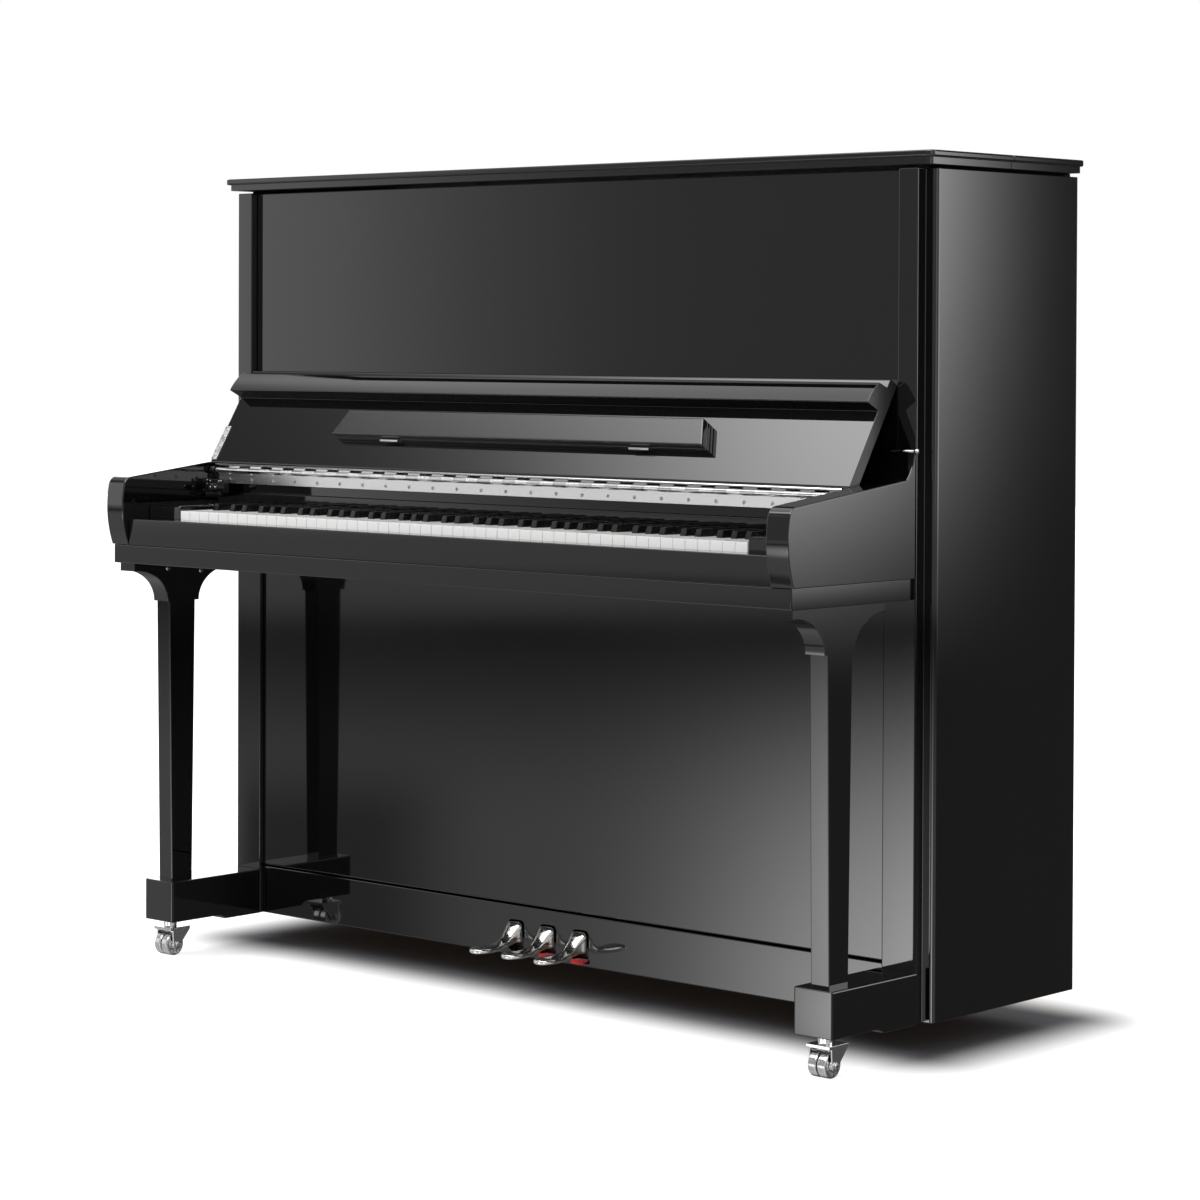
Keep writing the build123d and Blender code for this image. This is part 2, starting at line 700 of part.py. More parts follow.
# ================================================================ back frame, soundboard, plate, strings
frame_half_width = side_inner - face_gap
with BuildPart() as back_frame:
    back_span = (frame_front_y, frame_back_y)
    box((-frame_half_width, frame_half_width), back_span, (case_bottom_z, case_bottom_z + beam_bottom_height))
    box((-frame_half_width, frame_half_width), back_span, (beam_bottom_z, beam_top_z))
    post_pitch = (2 * frame_half_width - post_width) / (post_count - 1)
    for i in range(post_count):
        low = -frame_half_width + i * post_pitch
        box((low, low + post_width), back_span, (case_bottom_z, beam_top_z))
    # the pinblock, glued to the front of the top beam
    pinblock_y = (plate_back_y + face_gap, frame_front_y)
    box((-frame_half_width, frame_half_width), pinblock_y, (beam_bottom_z, beam_top_z))
    with Locations(
        (-caster_rear_x, caster_rear_y, case_bottom_z + stem_depth / 2),
        (caster_rear_x, caster_rear_y, case_bottom_z + stem_depth / 2),
    ):
        Cylinder(stem_radius + pin_clearance, stem_depth, mode=Mode.SUBTRACT)
save(back_frame, "back_frame")

soundboard_z = (bottom_board_top_z + face_gap, beam_bottom_z - face_gap)
with BuildPart() as soundboard:
    board_span = (soundboard_y, soundboard_y + soundboard_thickness)
    box((-frame_half_width, frame_half_width), board_span, soundboard_z)
    rib_y = soundboard_y + soundboard_thickness
    with BuildSketch(Plane.XZ.offset(-rib_y)):
        height = soundboard_z[1] - soundboard_z[0]
        rib_pitch = 2 * frame_half_width / (rib_count + 1)
        for i in range(rib_count):
            x = -frame_half_width + (i + 1) * rib_pitch
            with Locations((x, (soundboard_z[0] + soundboard_z[1]) / 2)):
                Rectangle(rib_width, 2 * height, rotation=-45)
        with Locations((0, (soundboard_z[0] + soundboard_z[1]) / 2)):
            Rectangle(2 * frame_half_width - 20, height - 20, mode=Mode.INTERSECT)
    extrude(amount=-rib_depth)
save(soundboard, "soundboard")

pin_field_z = (beam_bottom_z + 18, beam_top_z - 22)
window_z = (bottom_board_top_z + 115, beam_bottom_z - 60)
def string_run(number):
    """Top and bottom of one string, and its radius. Bass strings cross over the others in their own plane."""
    top_z = pin_field_z[0] - 12
    if number < bass_count:
        share = number / (bass_count - 1)
        top_x = 114 - plate_half + (plate_half - 354) * share
        bottom_x = -160 + (plate_half - 294) * share
        return (top_x, bass_plane_y, top_z), (bottom_x, bass_plane_y, window_z[0] - 20), bass_wire_radius - 0.6 * share
    share = (number - bass_count) / (string_count - bass_count - 1)
    top_x = -80 + (plate_half - 24) * share
    bottom_z = window_z[0] - 20 + 780 * share ** 0.6
    return (top_x, treble_plane_y, top_z), (top_x - 55 * (1 - share), treble_plane_y, bottom_z), treble_wire_radius - 0.35 * share


with BuildPart() as iron_plate:
    plate_y = (plate_front_y, plate_back_y)
    box((-plate_half, plate_half), plate_y, (bottom_board_top_z + face_gap, beam_top_z - 2))
    window_pitch = (2 * plate_half - strut_width) / plate_windows
    window_x = [-plate_half + strut_width + i * window_pitch for i in range(plate_windows)]
    for x in window_x:
        box((x, x + window_pitch - strut_width), plate_y, window_z, mode=Mode.SUBTRACT)
    # the bars that the strings bear on, just below their tuning pins
    bar_z = (pin_field_z[0] - 17, pin_field_z[0] - 8)
    for numbers, wire_back_y in (
        ((0, bass_count - 1), bass_plane_y + bass_wire_radius),
        ((bass_count, string_count - 1), treble_plane_y + treble_wire_radius),
    ):
        ends = [string_run(number)[0][0] for number in numbers]
        box((min(ends) - 10, max(ends) + 10), (wire_back_y + face_gap, plate_front_y), bar_z)
    # bosses that carry the plate off the soundboard
    for x in (-plate_half + 13, plate_half - 13):
        for z in (window_z[0] + 60, window_z[1] - 60):
            rod((x, plate_back_y, z), (x, soundboard_y - face_gap, z), 9)
save(iron_plate, "iron_plate")

pin_pitch_z = (pin_field_z[1] - pin_field_z[0]) / (pin_rows - 1)
pin_pitch_x = 2 * (plate_half - 90) / (pin_columns - 1)
with BuildPart() as tuning_pins:
    pin_y = plate_front_y - pin_reach / 2
    pin_xs = [-(plate_half - 90) + i * pin_pitch_x for i in range(pin_columns)]
    pin_zs = [pin_field_z[0] + row * pin_pitch_z for row in range(pin_rows)]
    rods([(x, pin_y, z) for x in pin_xs for z in pin_zs], pin_radius, pin_reach, 90)
save(tuning_pins, "tuning_pins")


with BuildPart() as strings:
    wires = []
    for number in range(string_count):
        top, bottom, radius = string_run(number)
        way = Vector(*top) - Vector(*bottom)
        wires.append(Solid.make_cylinder(radius, way.length, Plane(origin=bottom, z_dir=way)))
    add(wires)
save(strings, "strings")

# ================================================================ action
strike_z = action_rail_z[0] + 10 + shank_length * cos(radians(hammer_lean)) + 18


def string_x(number, z):
    """Where a string passes a height."""
    top, bottom, _ = string_run(number)
    share = (z - bottom[2]) / (top[2] - bottom[2])
    return bottom[0] + share * (top[0] - bottom[0])


rail_half = bracket_x[-1] + 20
with BuildPart() as action_frame:
    for rail_z in (action_rail_z, wippen_rail_z):
        box((-rail_half, rail_half), action_rail, rail_z)
    for x in bracket_x:
        bracket_y = (action_rail[0], action_rail[1] + 6)
        box((x - bracket_width / 2, x + bracket_width / 2), bracket_y, (keybed_top_z, bracket_top_z))
    hammer_x = [string_x(number, strike_z) for number in range(string_count)]
    wippen_y = (42, action_rail[0] + 1)
    wippen_size = (action_width, wippen_y[1] - wippen_y[0], 14)
    boxes([(x, sum(wippen_y) / 2, key_top_z + 17) for x in hammer_x], wippen_size)
    jack_z = (key_top_z + 20, action_rail_z[0] - 8)
    boxes([(x, 70, sum(jack_z) / 2) for x in hammer_x], (action_width, 8, jack_z[1] - jack_z[0]))
save(action_frame, "action_frame")

lean = radians(hammer_lean)
butt_y = action_rail[0] - face_gap - butt_radius
butt_z = action_rail_z[0] + 10
shank_top_y = butt_y - shank_length * sin(lean)
shank_top_z = butt_z + shank_length * cos(lean)
with BuildPart() as hammers:
    rods([(x, butt_y, butt_z) for x in hammer_x], butt_radius, action_width, None)
    shank_middle = ((butt_y + shank_top_y) / 2, (butt_z + shank_top_z) / 2)
    rods([(x, *shank_middle) for x in hammer_x], 3, shank_length, -hammer_lean)
    head_middle = (hammer_reach - 8) / 2
    head_y = shank_top_y + head_middle * cos(lean)
    head_z = shank_top_z + head_middle * sin(lean)
    rods([(x, head_y, head_z) for x in hammer_x], action_width / 2, hammer_reach + 8, 90 - hammer_lean)
    # the rest rail behind the shanks
    rest_y = butt_y - 0.6 * shank_length * sin(lean) - 3 / cos(lean) - face_gap
    rest_z = butt_z + 0.6 * shank_length * cos(lean)
    with BuildSketch(Plane.YZ.offset(-rail_half)):
        with Locations((rest_y - 8, rest_z)):
            Rectangle(16, 34, rotation=hammer_lean)
    extrude(amount=2 * rail_half)
save(hammers, "hammers")

damper_z = (955.0, 1000.0)
with BuildPart() as dampers:
    base_y = action_rail[1] + face_gap + 6
    base_z = action_rail_z[0] + 5
    damper_x = [string_x(number, damper_z[0]) for number in range(damper_count)]
    rods([(x, base_y, base_z) for x in damper_x], 6, action_width, None)
    for xs, plane_y in (
        (damper_x[:bass_count], bass_plane_y - 1.6),
        (damper_x[bass_count:], treble_plane_y - 0.8),
    ):
        head_y = plane_y - face_gap - 8
        wire_y = head_y + 4 - base_y
        wire_z = damper_z[0] + 5 - base_z
        wire_middle = (base_y + wire_y / 2, base_z + wire_z / 2)
        wire_length = (wire_y**2 + wire_z**2) ** 0.5
        rods([(x, *wire_middle) for x in xs], 1.5, wire_length, degrees(asin(wire_y / wire_length)))
        head_size = (action_width, 8, damper_z[1] - damper_z[0])
        boxes([(x, head_y + 4, sum(damper_z) / 2) for x in xs], head_size)
save(dampers, "dampers")

with BuildPart() as muffler_rail:
    muffler_y = action_rail[1] + 6 + face_gap
    box((-rail_half, rail_half), (muffler_y, muffler_y + 8), (muffler_z[1], muffler_z[1] + 20))
    box((-rail_half, rail_half), (muffler_y + 3, muffler_y + 6), muffler_z)
save(muffler_rail, "muffler_rail")

# ================================================================ pedals
ear_gap = pedal_width / 2 + face_gap
with BuildPart() as pedal_brackets:
    for x in pedal_x.values():
        for low, high in ((ear_gap, ear_gap + ear_width), (-ear_gap - ear_width, -ear_gap)):
            ear_y = (pedal_axis_y - 12, pedal_axis_y + 12)
            box((x + low, x + high), ear_y, (bottom_board_top_z, pedal_axis_z + 10))
        reach = ear_gap + ear_width
        rod((x - reach, pedal_axis_y, pedal_axis_z), (x + reach, pedal_axis_y, pedal_axis_z), pedal_axis_radius)
save(pedal_brackets, "pedal_brackets")

for pedal_name, x in pedal_x.items():
    with BuildPart() as pedal:
        with BuildSketch(Plane.YZ.offset(x - pad_half_width)):
            with BuildLine():
                neck_y = lower_panel_y - 6
                Polyline(
                    (neck_y + 2, pedal_axis_z - 7),
                    (pedal_axis_y + 45, pedal_axis_z - 7),
                    (pedal_axis_y + 45, pedal_axis_z + 7),
                    (neck_y + 8, pedal_axis_z + 9),
                )
                Spline(
                    (neck_y + 8, pedal_axis_z + 9),
                    (neck_y - 6, pedal_axis_z + 2),
                    (neck_y - 22, pedal_axis_z - 15),
                    (neck_y - 50, pedal_axis_z - 22),
                    (neck_y - 85, pedal_axis_z - 20),
                    (pedal_tip_y, pedal_axis_z - 24),
                )
                Spline(
                    (pedal_tip_y, pedal_axis_z - 24),
                    (neck_y - 85, pedal_axis_z - 28),
                    (neck_y - 50, pedal_axis_z - 30),
                    (neck_y - 18, pedal_axis_z - 24),
                    (neck_y + 2, pedal_axis_z - 7),
                )
            make_face()
        extrude(amount=2 * pad_half_width)
        with BuildSketch(Plane.XY.offset(pedal_axis_z - 40)):
            with BuildLine():
                half = pedal_width / 2
                pad_y = pedal_tip_y + 2 * pad_half_width
                Polyline((x + half, neck_y - 25), (x + half, pedal_axis_y + 46), (x - half, pedal_axis_y + 46))
                Line((x - half, pedal_axis_y + 46), (x - half, neck_y - 25))
                Spline(
                    (x - half, neck_y - 25),
                    (x - pad_half_width, pad_y),
                    (x, pedal_tip_y),
                    (x + pad_half_width, pad_y),
                    (x + half, neck_y - 25),
                    tangents=[(0, -1), (0, 1)],
                )
            make_face()
        extrude(amount=80, mode=Mode.INTERSECT)
        rod(
            (x - pedal_width, pedal_axis_y, pedal_axis_z),
            (x + pedal_width, pedal_axis_y, pedal_axis_z),
            pedal_axis_radius + pin_clearance,
            mode=Mode.SUBTRACT,
        )
    save(pedal, f"pedal_{pedal_name}")

# ================================================================ casters
axle_z = wheel_radius
for end_name, place_x, caster_y, seat_z in (
    ("front", caster_x, caster_front_y, toe_bottom_z),
    ("rear", caster_rear_x, caster_rear_y, case_bottom_z),
):
    for side_name, side in SIDES:
        x = side * place_x
        axle_y = caster_y - caster_trail
        fork_front_y = axle_y - 15
        fork_back_y = caster_y + caster_tail
        with BuildPart() as fork:
            plate_z = (fork_top_z - fork_plate, fork_top_z)
            box((x - fork_half, x + fork_half), (fork_front_y, fork_back_y), plate_z)
            for arm_x in (x - fork_half, x + fork_half - fork_wall):
                with BuildSketch(Plane.YZ.offset(arm_x)):
                    with BuildLine():
                        Polyline(
                            (axle_y - 8, axle_z),
                            (axle_y - 9, fork_top_z - fork_plate),
                            (fork_back_y, fork_top_z - fork_plate),
                            (axle_y + 8, axle_z),
                        )
                        ThreePointArc((axle_y + 8, axle_z), (axle_y, axle_z - 8), (axle_y - 8, axle_z))
                    make_face()
                extrude(amount=fork_wall)
            with Locations((x, caster_y, fork_top_z)):
                base = (Align.CENTER, Align.CENTER, Align.MIN)
                Cylinder(collar_radius, seat_z - fork_top_z - face_gap, align=base)
                Cylinder(stem_radius, seat_z - fork_top_z + stem_depth - 3, align=base)
            rod((x - fork_half - 1, axle_y, axle_z), (x + fork_half + 1, axle_y, axle_z), axle_radius)
        save(fork, f"caster_fork_{end_name}_{side_name}")
        with BuildPart() as wheel:
            hub_half = fork_half - fork_wall - 0.3
            rod((x - hub_half, axle_y, axle_z), (x + hub_half, axle_y, axle_z), 7)
            for low, high in (
                (-wheel_gap / 2 - wheel_width, -wheel_gap / 2),
                (wheel_gap / 2, wheel_gap / 2 + wheel_width),
            ):
                rod((x + low, axle_y, axle_z), (x + high, axle_y, axle_z), wheel_radius)
            rims = wheel.edges().filter_by(GeomType.CIRCLE).filter_by(lambda e: e.radius > wheel_radius - 0.1)
            chamfer(rims, 1.2)
            rod(
                (x - fork_half, axle_y, axle_z),
                (x + fork_half, axle_y, axle_z),
                axle_radius + pin_clearance,
                mode=Mode.SUBTRACT,
            )
        save(wheel, f"caster_wheels_{end_name}_{side_name}")
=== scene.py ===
"""Looks for an upright piano in black lacquer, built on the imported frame. Metres, +X right, +Y back, +Z up."""

import json
import math

import bmesh
import bpy
import numpy as np
from mathutils import Matrix, Vector


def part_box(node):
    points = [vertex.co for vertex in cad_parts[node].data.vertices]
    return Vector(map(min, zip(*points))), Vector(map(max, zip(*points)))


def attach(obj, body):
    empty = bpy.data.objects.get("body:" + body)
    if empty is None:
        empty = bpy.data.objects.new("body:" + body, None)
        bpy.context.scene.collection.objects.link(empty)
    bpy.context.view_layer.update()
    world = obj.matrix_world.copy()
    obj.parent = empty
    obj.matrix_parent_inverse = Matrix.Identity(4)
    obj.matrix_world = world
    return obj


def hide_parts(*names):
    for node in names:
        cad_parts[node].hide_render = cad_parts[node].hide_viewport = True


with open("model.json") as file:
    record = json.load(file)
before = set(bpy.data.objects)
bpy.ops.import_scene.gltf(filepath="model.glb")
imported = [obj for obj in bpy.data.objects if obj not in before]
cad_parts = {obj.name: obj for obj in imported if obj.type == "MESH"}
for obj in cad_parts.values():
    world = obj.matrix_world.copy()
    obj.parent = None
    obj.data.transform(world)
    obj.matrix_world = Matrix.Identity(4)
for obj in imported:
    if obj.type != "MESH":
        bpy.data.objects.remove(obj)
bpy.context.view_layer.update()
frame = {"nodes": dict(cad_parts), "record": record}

NODES = frame["nodes"]
BODY_OF = {node: body for body, names in frame["record"]["behaviour"]["bodies"].items() for node in names}
SLOT_OF = {row["node"]: row["material_slot"] for row in frame["record"]["subparts"]}
NOTES = ("c", "c_sharp", "d", "d_sharp", "e", "f", "f_sharp", "g", "g_sharp", "a", "a_sharp", "b")
CORNERS = ("front_left", "front_right", "rear_left", "rear_right")

# sizes shared with the solids, in metres
FALL_AXIS = Vector((0.0, -0.141, 0.822))  # the fallboard's hinge axis
FALL_LEAN = math.radians(32.0)  # how far the open fallboard leans back
FALL_FACE = 0.0102  # the fallboard's front face, out from its axis
FALL_HALF = 0.688  # half the fallboard's length
LEAF_FRONT_Y = -0.1365  # the front of the long hinge leaf
LEAF_HALF = 0.675  # half the leaf's length
LEAF_SCREW_Z = 0.8068
LEAF_SCREW_INSET = 0.012  # from the leaf's end to its first screw, at least
SCREW_PITCH = 0.054
LEAF_SCREW_RADIUS = 0.0031
LEAF_SCREW_HEIGHT = 0.0011
LEAF_SCREW_SEED = 7
PEDAL_X = {"left": -0.07, "middle": 0.0, "right": 0.07}
SIDES = (-1, 1)  # left and right of the middle
STRING_SPLIT_Y = 0.176  # the copper-wound strings lie in front of it
HAMMER_FELT_Z = 1.004  # the heights where felt meets wood
DAMPER_FELT_Z = 0.9545
MUFFLER_WOOD_Z = 1.12
LIP_LOWEST_Z = 0.9  # the fallboard's lip lies above it

FORK_OUTER_HALF = 0.0205  # half a caster fork's width over its plates

LACQUER_IOR = 1.7
EDGE_ANGLE = 32.0  # degrees: edges sharper than this are rounded
ROUNDED_EDGE_ANGLE = 60.0  # for pieces whose solids have some rounded edges of their own


# ---------------------------------------------------------------- shader helpers
class Tree:
    """A node tree that is written as plain calls."""

    def __init__(self, tree):
        self.tree = tree
        self.nodes = tree.nodes
        self.nodes.clear()

    def node(self, kind, **settings):
        made = self.nodes.new(kind)
        for key, value in settings.items():
            setattr(made, key, value)
        return made

    def link(self, source, target):
        self.tree.links.new(source, target)

    def feed(self, socket, value):
        if isinstance(value, bpy.types.NodeSocket):
            self.link(value, socket)
        else:
            socket.default_value = value

    def math(self, operation, *values, clamp=False):
        made = self.node("ShaderNodeMath", operation=operation, use_clamp=clamp)
        for socket, value in zip(made.inputs, values):
            self.feed(socket, value)
        return made.outputs[0]

    def ramp(self, value, low, high, start=0.0, end=1.0, smooth=True):
        """Value between two limits, taken to a new range."""
        kind = "SMOOTHSTEP" if smooth else "LINEAR"
        made = self.node("ShaderNodeMapRange", interpolation_type=kind)
        for name, number in (("From Min", low), ("From Max", high), ("To Min", start), ("To Max", end)):
            self.feed(made.inputs[name], number)
        self.feed(made.inputs["Value"], value)
        return made.outputs["Result"]

    def mix(self, factor, first, second):
        made = self.node("ShaderNodeMix", data_type="RGBA")
        self.feed(made.inputs["Factor"], factor)
        for name, value in (("A", first), ("B", second)):
            socket = next(s for s in made.inputs if s.name == name and s.type == "RGBA")
            self.feed(socket, (*value, 1.0) if isinstance(value, (tuple, list)) and len(value) == 3 else value)
        return next(s for s in made.outputs if s.type == "RGBA")

    def noise(self, scale, detail=3.0, stretch=None, distortion=0.0):
        """Noise on Object coordinates, which may be stretched along an axis."""
        place = self.node("ShaderNodeTexCoord").outputs["Object"]
        if stretch:
            mapping = self.node("ShaderNodeMapping")
            mapping.inputs["Scale"].default_value = stretch
            self.link(place, mapping.inputs["Vector"])
            place = mapping.outputs["Vector"]
        made = self.node("ShaderNodeTexNoise")
        made.inputs["Scale"].default_value = scale
        made.inputs["Detail"].default_value = detail
        made.inputs["Distortion"].default_value = distortion
        self.link(place, made.inputs["Vector"])
        return made.outputs["Fac"]

    def bump(self, height, distance, strength=1.0):
        made = self.node("ShaderNodeBump")
        made.inputs["Strength"].default_value = strength
        made.inputs["Distance"].default_value = distance
        self.link(height, made.inputs["Height"])
        return made.outputs["Normal"]

    def parts(self, vector):
        """The three numbers of a vector."""
        split = self.node("ShaderNodeSeparateXYZ")
        self.link(vector, split.inputs[0])
        return split.outputs

    def axis(self, index):
        """One Object coordinate."""
        return self.parts(self.node("ShaderNodeTexCoord").outputs["Object"])[index]

    def facing(self, index):
        """How far the surface faces along one axis, from -1 to 1."""
        return self.parts(self.node("ShaderNodeNewGeometry").outputs["Normal"])[index]


def material(name):
    made = bpy.data.materials.new(name)
    made.use_nodes = True
    tree = Tree(made.node_tree)
    shader = tree.node("ShaderNodeBsdfPrincipled")
    output = tree.node("ShaderNodeOutputMaterial")
    tree.link(shader.outputs[0], output.inputs["Surface"])
    return made, tree, shader


def finish_of(shader, tree, color, roughness, metallic=0.0, ior=None, normal=None):
    tree.feed(shader.inputs["Base Color"], (*color, 1.0) if isinstance(color, tuple) and len(color) == 3 else color)
    tree.feed(shader.inputs["Roughness"], roughness)
    shader.inputs["Metallic"].default_value = metallic
    if ior:
        shader.inputs["IOR"].default_value = ior
    if normal:
        tree.link(normal, shader.inputs["Normal"])


def lacquer(name):
    """What every lacquer starts from: a material, its haze as a roughness, and its faint orange peel."""
    made, tree, shader = material(name)
    haze = tree.ramp(tree.noise(2.2, 4.0), 0.3, 0.75, 0.028, 0.055)
    peel = tree.bump(tree.noise(85.0, 2.0), 0.00001, 0.25)
    return made, tree, shader, haze, peel


def lacquer_tone(tree):
    """A near-black that varies a little."""
    return tree.mix(tree.noise(3.0, 3.0), (0.0022, 0.0022, 0.0026), (0.0034, 0.0033, 0.0036))


def case_lacquer():
    made, tree, shader, haze, peel = lacquer("black_lacquer")
    dust = tree.ramp(tree.noise(900.0, 2.0), 0.72, 0.8, 0.0, 0.03)
    finish_of(shader, tree, lacquer_tone(tree), tree.math("ADD", haze, dust), ior=LACQUER_IOR, normal=peel)
    return made


def lid_lacquer():
    """Lacquer on top and edges, sealed matt black underneath."""
    made, tree, shader, haze, peel = lacquer("lid_lacquer")
    under = tree.ramp(tree.facing(2), -0.55, -0.75, smooth=False)
    rough = tree.math("ADD", haze, tree.math("MULTIPLY", under, 0.75))
    finish_of(shader, tree, lacquer_tone(tree), rough, ior=LACQUER_IOR, normal=peel)
    return made


def fallboard_lacquer():
    """Lacquer whose end faces are a lighter grey and less glossy."""
    made, tree, shader, haze, peel = lacquer("fallboard_lacquer")
    end = tree.ramp(tree.math("ABSOLUTE", tree.facing(0)), 0.9, 0.97, smooth=False)
    rough = tree.math("ADD", haze, tree.math("MULTIPLY", end, 0.4))
    tone = tree.mix(end, (0.0027, 0.0027, 0.003), (0.03, 0.03, 0.031))
    finish_of(shader, tree, tone, rough, ior=LACQUER_IOR, normal=peel)
    return made


def desk_lacquer():
    """Lacquer with a softer gloss on the face; its ends and lower edge stay dark."""
    made, tree, shader, haze, peel = lacquer("desk_lacquer")
    face = tree.ramp(tree.facing(1), -0.6, -0.8)
    rough = tree.math("ADD", haze, tree.math("MULTIPLY", face, 0.13))
    finish_of(shader, tree, (0.02, 0.02, 0.021), rough, ior=LACQUER_IOR, normal=peel)
    return made


def satin_black(name, tone, rough, specular=None):
    made, tree, shader = material(name)
    grain = tree.bump(tree.noise(1400.0, 3.0), 0.00004, 0.4)
    color = tree.mix(tree.noise(30.0), (tone * 0.8,) * 3, (tone * 1.3,) * 3)
    roughness = tree.ramp(tree.noise(40.0), 0.3, 0.7, rough - 0.06, rough + 0.06)
    finish_of(shader, tree, color, roughness, ior=1.5, normal=grain)
    if specular is not None:
        shader.inputs["Specular IOR Level"].default_value = specular
    return made


def ivory_finish():
    """The white keys' tops and fronts."""
    made, tree, shader = material("white_keys")
    color = tree.mix(tree.noise(14.0, 4.0), (0.96, 0.96, 0.955), (0.92, 0.92, 0.91))
    fine = tree.bump(tree.noise(700.0, 2.0), 0.00002, 0.2)
    finish_of(shader, tree, color, tree.ramp(tree.noise(24.0), 0.3, 0.7, 0.16, 0.24), ior=1.5, normal=fine)
    return made


def metal_finish(name, color, rough, brushed=None):
    """Bare metal with faint wear, drawn out along the brushing where there is any."""
    made, tree, shader = material(name)
    shade = tuple(c * 0.86 for c in color)
    tone = tree.mix(tree.noise(45.0, 4.0), color, shade)
    lines = tree.noise(260.0, 2.0, stretch=brushed) if brushed else tree.noise(160.0, 2.0)
    roughness = tree.ramp(lines, 0.3, 0.7, rough * 0.7, rough * 1.4)
    finish_of(shader, tree, tone, roughness, metallic=1.0, normal=tree.bump(lines, 0.00002, 0.15))
    return made


def plain_metal(name, color, rough):
    """Smooth metal of one even gloss."""
    made, tree, shader = material(name)
    finish_of(shader, tree, color, rough, metallic=1.0)
    return made


def wood_finish(name, light, dark, along=2, rough=0.42, rings=9.0):
    """Sawn wood with long grain along one axis."""
    made, tree, shader = material(name)
    stretch = [1.0, 1.0, 1.0]
    stretch[along] = 0.06
    grain = tree.noise(rings, 6.0, stretch=stretch, distortion=0.6)
    lines = tree.ramp(tree.math("FRACT", tree.math("MULTIPLY", grain, 7.0)), 0.0, 0.85)
    pores = tree.noise(420.0, 3.0, stretch=stretch)
    tone = tree.mix(lines, light, dark)
    tone = tree.mix(tree.ramp(pores, 0.45, 0.8, 0.0, 0.35), tone, tuple(c * 0.55 for c in dark))
    finish_of(shader, tree, tone, tree.ramp(pores, 0.3, 0.7, rough - 0.08, rough + 0.1), ior=1.45,
              normal=tree.bump(pores, 0.0002, 0.25))
    return made


def felt_finish(name, color):
    """Pressed wool with a fuzz and a weak sheen."""
    made, tree, shader = material(name)
    fuzz = tree.noise(1800.0, 4.0)
    tone = tree.mix(tree.noise(60.0, 4.0), color, tuple(c * 0.75 for c in color))
    finish_of(shader, tree, tone, 0.95, normal=tree.bump(fuzz, 0.0004, 0.6))
    shader.inputs["Sheen Weight"].default_value = 0.25
    return made


def split_finish(name, index, limit, below, above, metallic=(0.0, 0.0), rough=(0.6, 0.9)):
    """Two finishes on one node, which meet at a height or depth."""
    made, tree, shader = material(name)
    seam = 0.0004  # half the width over which they blend
    side = tree.ramp(tree.axis(index), limit - seam, limit + seam, smooth=False)
    speck = tree.noise(500.0, 4.0, stretch=(1.0, 1.0, 0.2))
    tone = tree.mix(side, below, above)
    tone = tree.mix(tree.ramp(speck, 0.4, 0.8, 0.0, 0.4), tone, tuple((a + b) * 0.3 for a, b in zip(below, above)))
    finish_of(shader, tree, tone, tree.ramp(side, 0.0, 1.0, *rough, smooth=False),
              normal=tree.bump(speck, 0.0003, 0.4))
    tree.feed(shader.inputs["Metallic"], tree.ramp(side, 0.0, 1.0, *metallic, smooth=False))
    return made


def iron_finish():
    """The cast plate's gold paint."""
    made, tree, shader = material("gold_iron")
    cast = tree.noise(350.0, 5.0)
    tone = tree.mix(tree.noise(12.0, 5.0), (0.52, 0.36, 0.13), (0.40, 0.27, 0.09))
    finish_of(shader, tree, tone, tree.ramp(cast, 0.3, 0.7, 0.3, 0.45), metallic=0.7,
              normal=tree.bump(cast, 0.0004, 0.5))
    return made


FINISH = {
    "black_lacquer": case_lacquer(),
    "white_keys": ivory_finish(),
    "black_keys": satin_black("black_keys", 0.006, 0.26),
    "polished_chrome": metal_finish("polished_chrome", (0.86, 0.86, 0.87), 0.09, (1.0, 30.0, 30.0)),
    "leaf_chrome": plain_metal("leaf_chrome", (0.97, 0.97, 0.98), 0.24),
    "wheel_steel": metal_finish("wheel_steel", (0.80, 0.80, 0.81), 0.2, (30.0, 1.0, 1.0)),
    "polished_brass": metal_finish("pedal_nickel", (0.84, 0.83, 0.80), 0.13),
    "zinc_steel": metal_finish("zinc_steel", (0.62, 0.62, 0.62), 0.34),
    "gold_iron": iron_finish(),
    "steel_wire": split_finish("string_wire", 1, STRING_SPLIT_Y, (0.62, 0.30, 0.14), (0.66, 0.66, 0.66),
                               (1.0, 1.0), (0.32, 0.25)),
    "spruce_frame": wood_finish("spruce_frame", (0.50, 0.33, 0.17), (0.40, 0.25, 0.12)),
    "spruce_board": wood_finish("spruce_board", (0.62, 0.44, 0.24), (0.50, 0.33, 0.16), rings=16.0),
    "action_maple": wood_finish("action_maple", (0.60, 0.44, 0.27), (0.50, 0.35, 0.20), along=1, rough=0.55),
    "hammer_felt": felt_finish("hammer_felt", (0.78, 0.75, 0.68)),
}
RED_FELT = felt_finish("red_felt", (0.56, 0.02, 0.025))
LID_LACQUER = lid_lacquer()
DESK_LACQUER = desk_lacquer()
# painted shade: the lip's underside gets a darker, barely reflective black, so the band under the lip reads black
LIP_PAINTED_SHADE = satin_black("lip_painted_shade", 0.001, 0.25, specular=0.08)
CASE_FINISH = {"fallboard": fallboard_lacquer(), "music_desk": DESK_LACQUER, "desk_batten": DESK_LACQUER,
               "lid_front": LID_LACQUER, "lid_rear": LID_LACQUER}
DARK_PART = satin_black("black_fitting", 0.012, 0.38)
SCREW_STEEL = metal_finish("screw_steel", (0.55, 0.55, 0.56), 0.22)
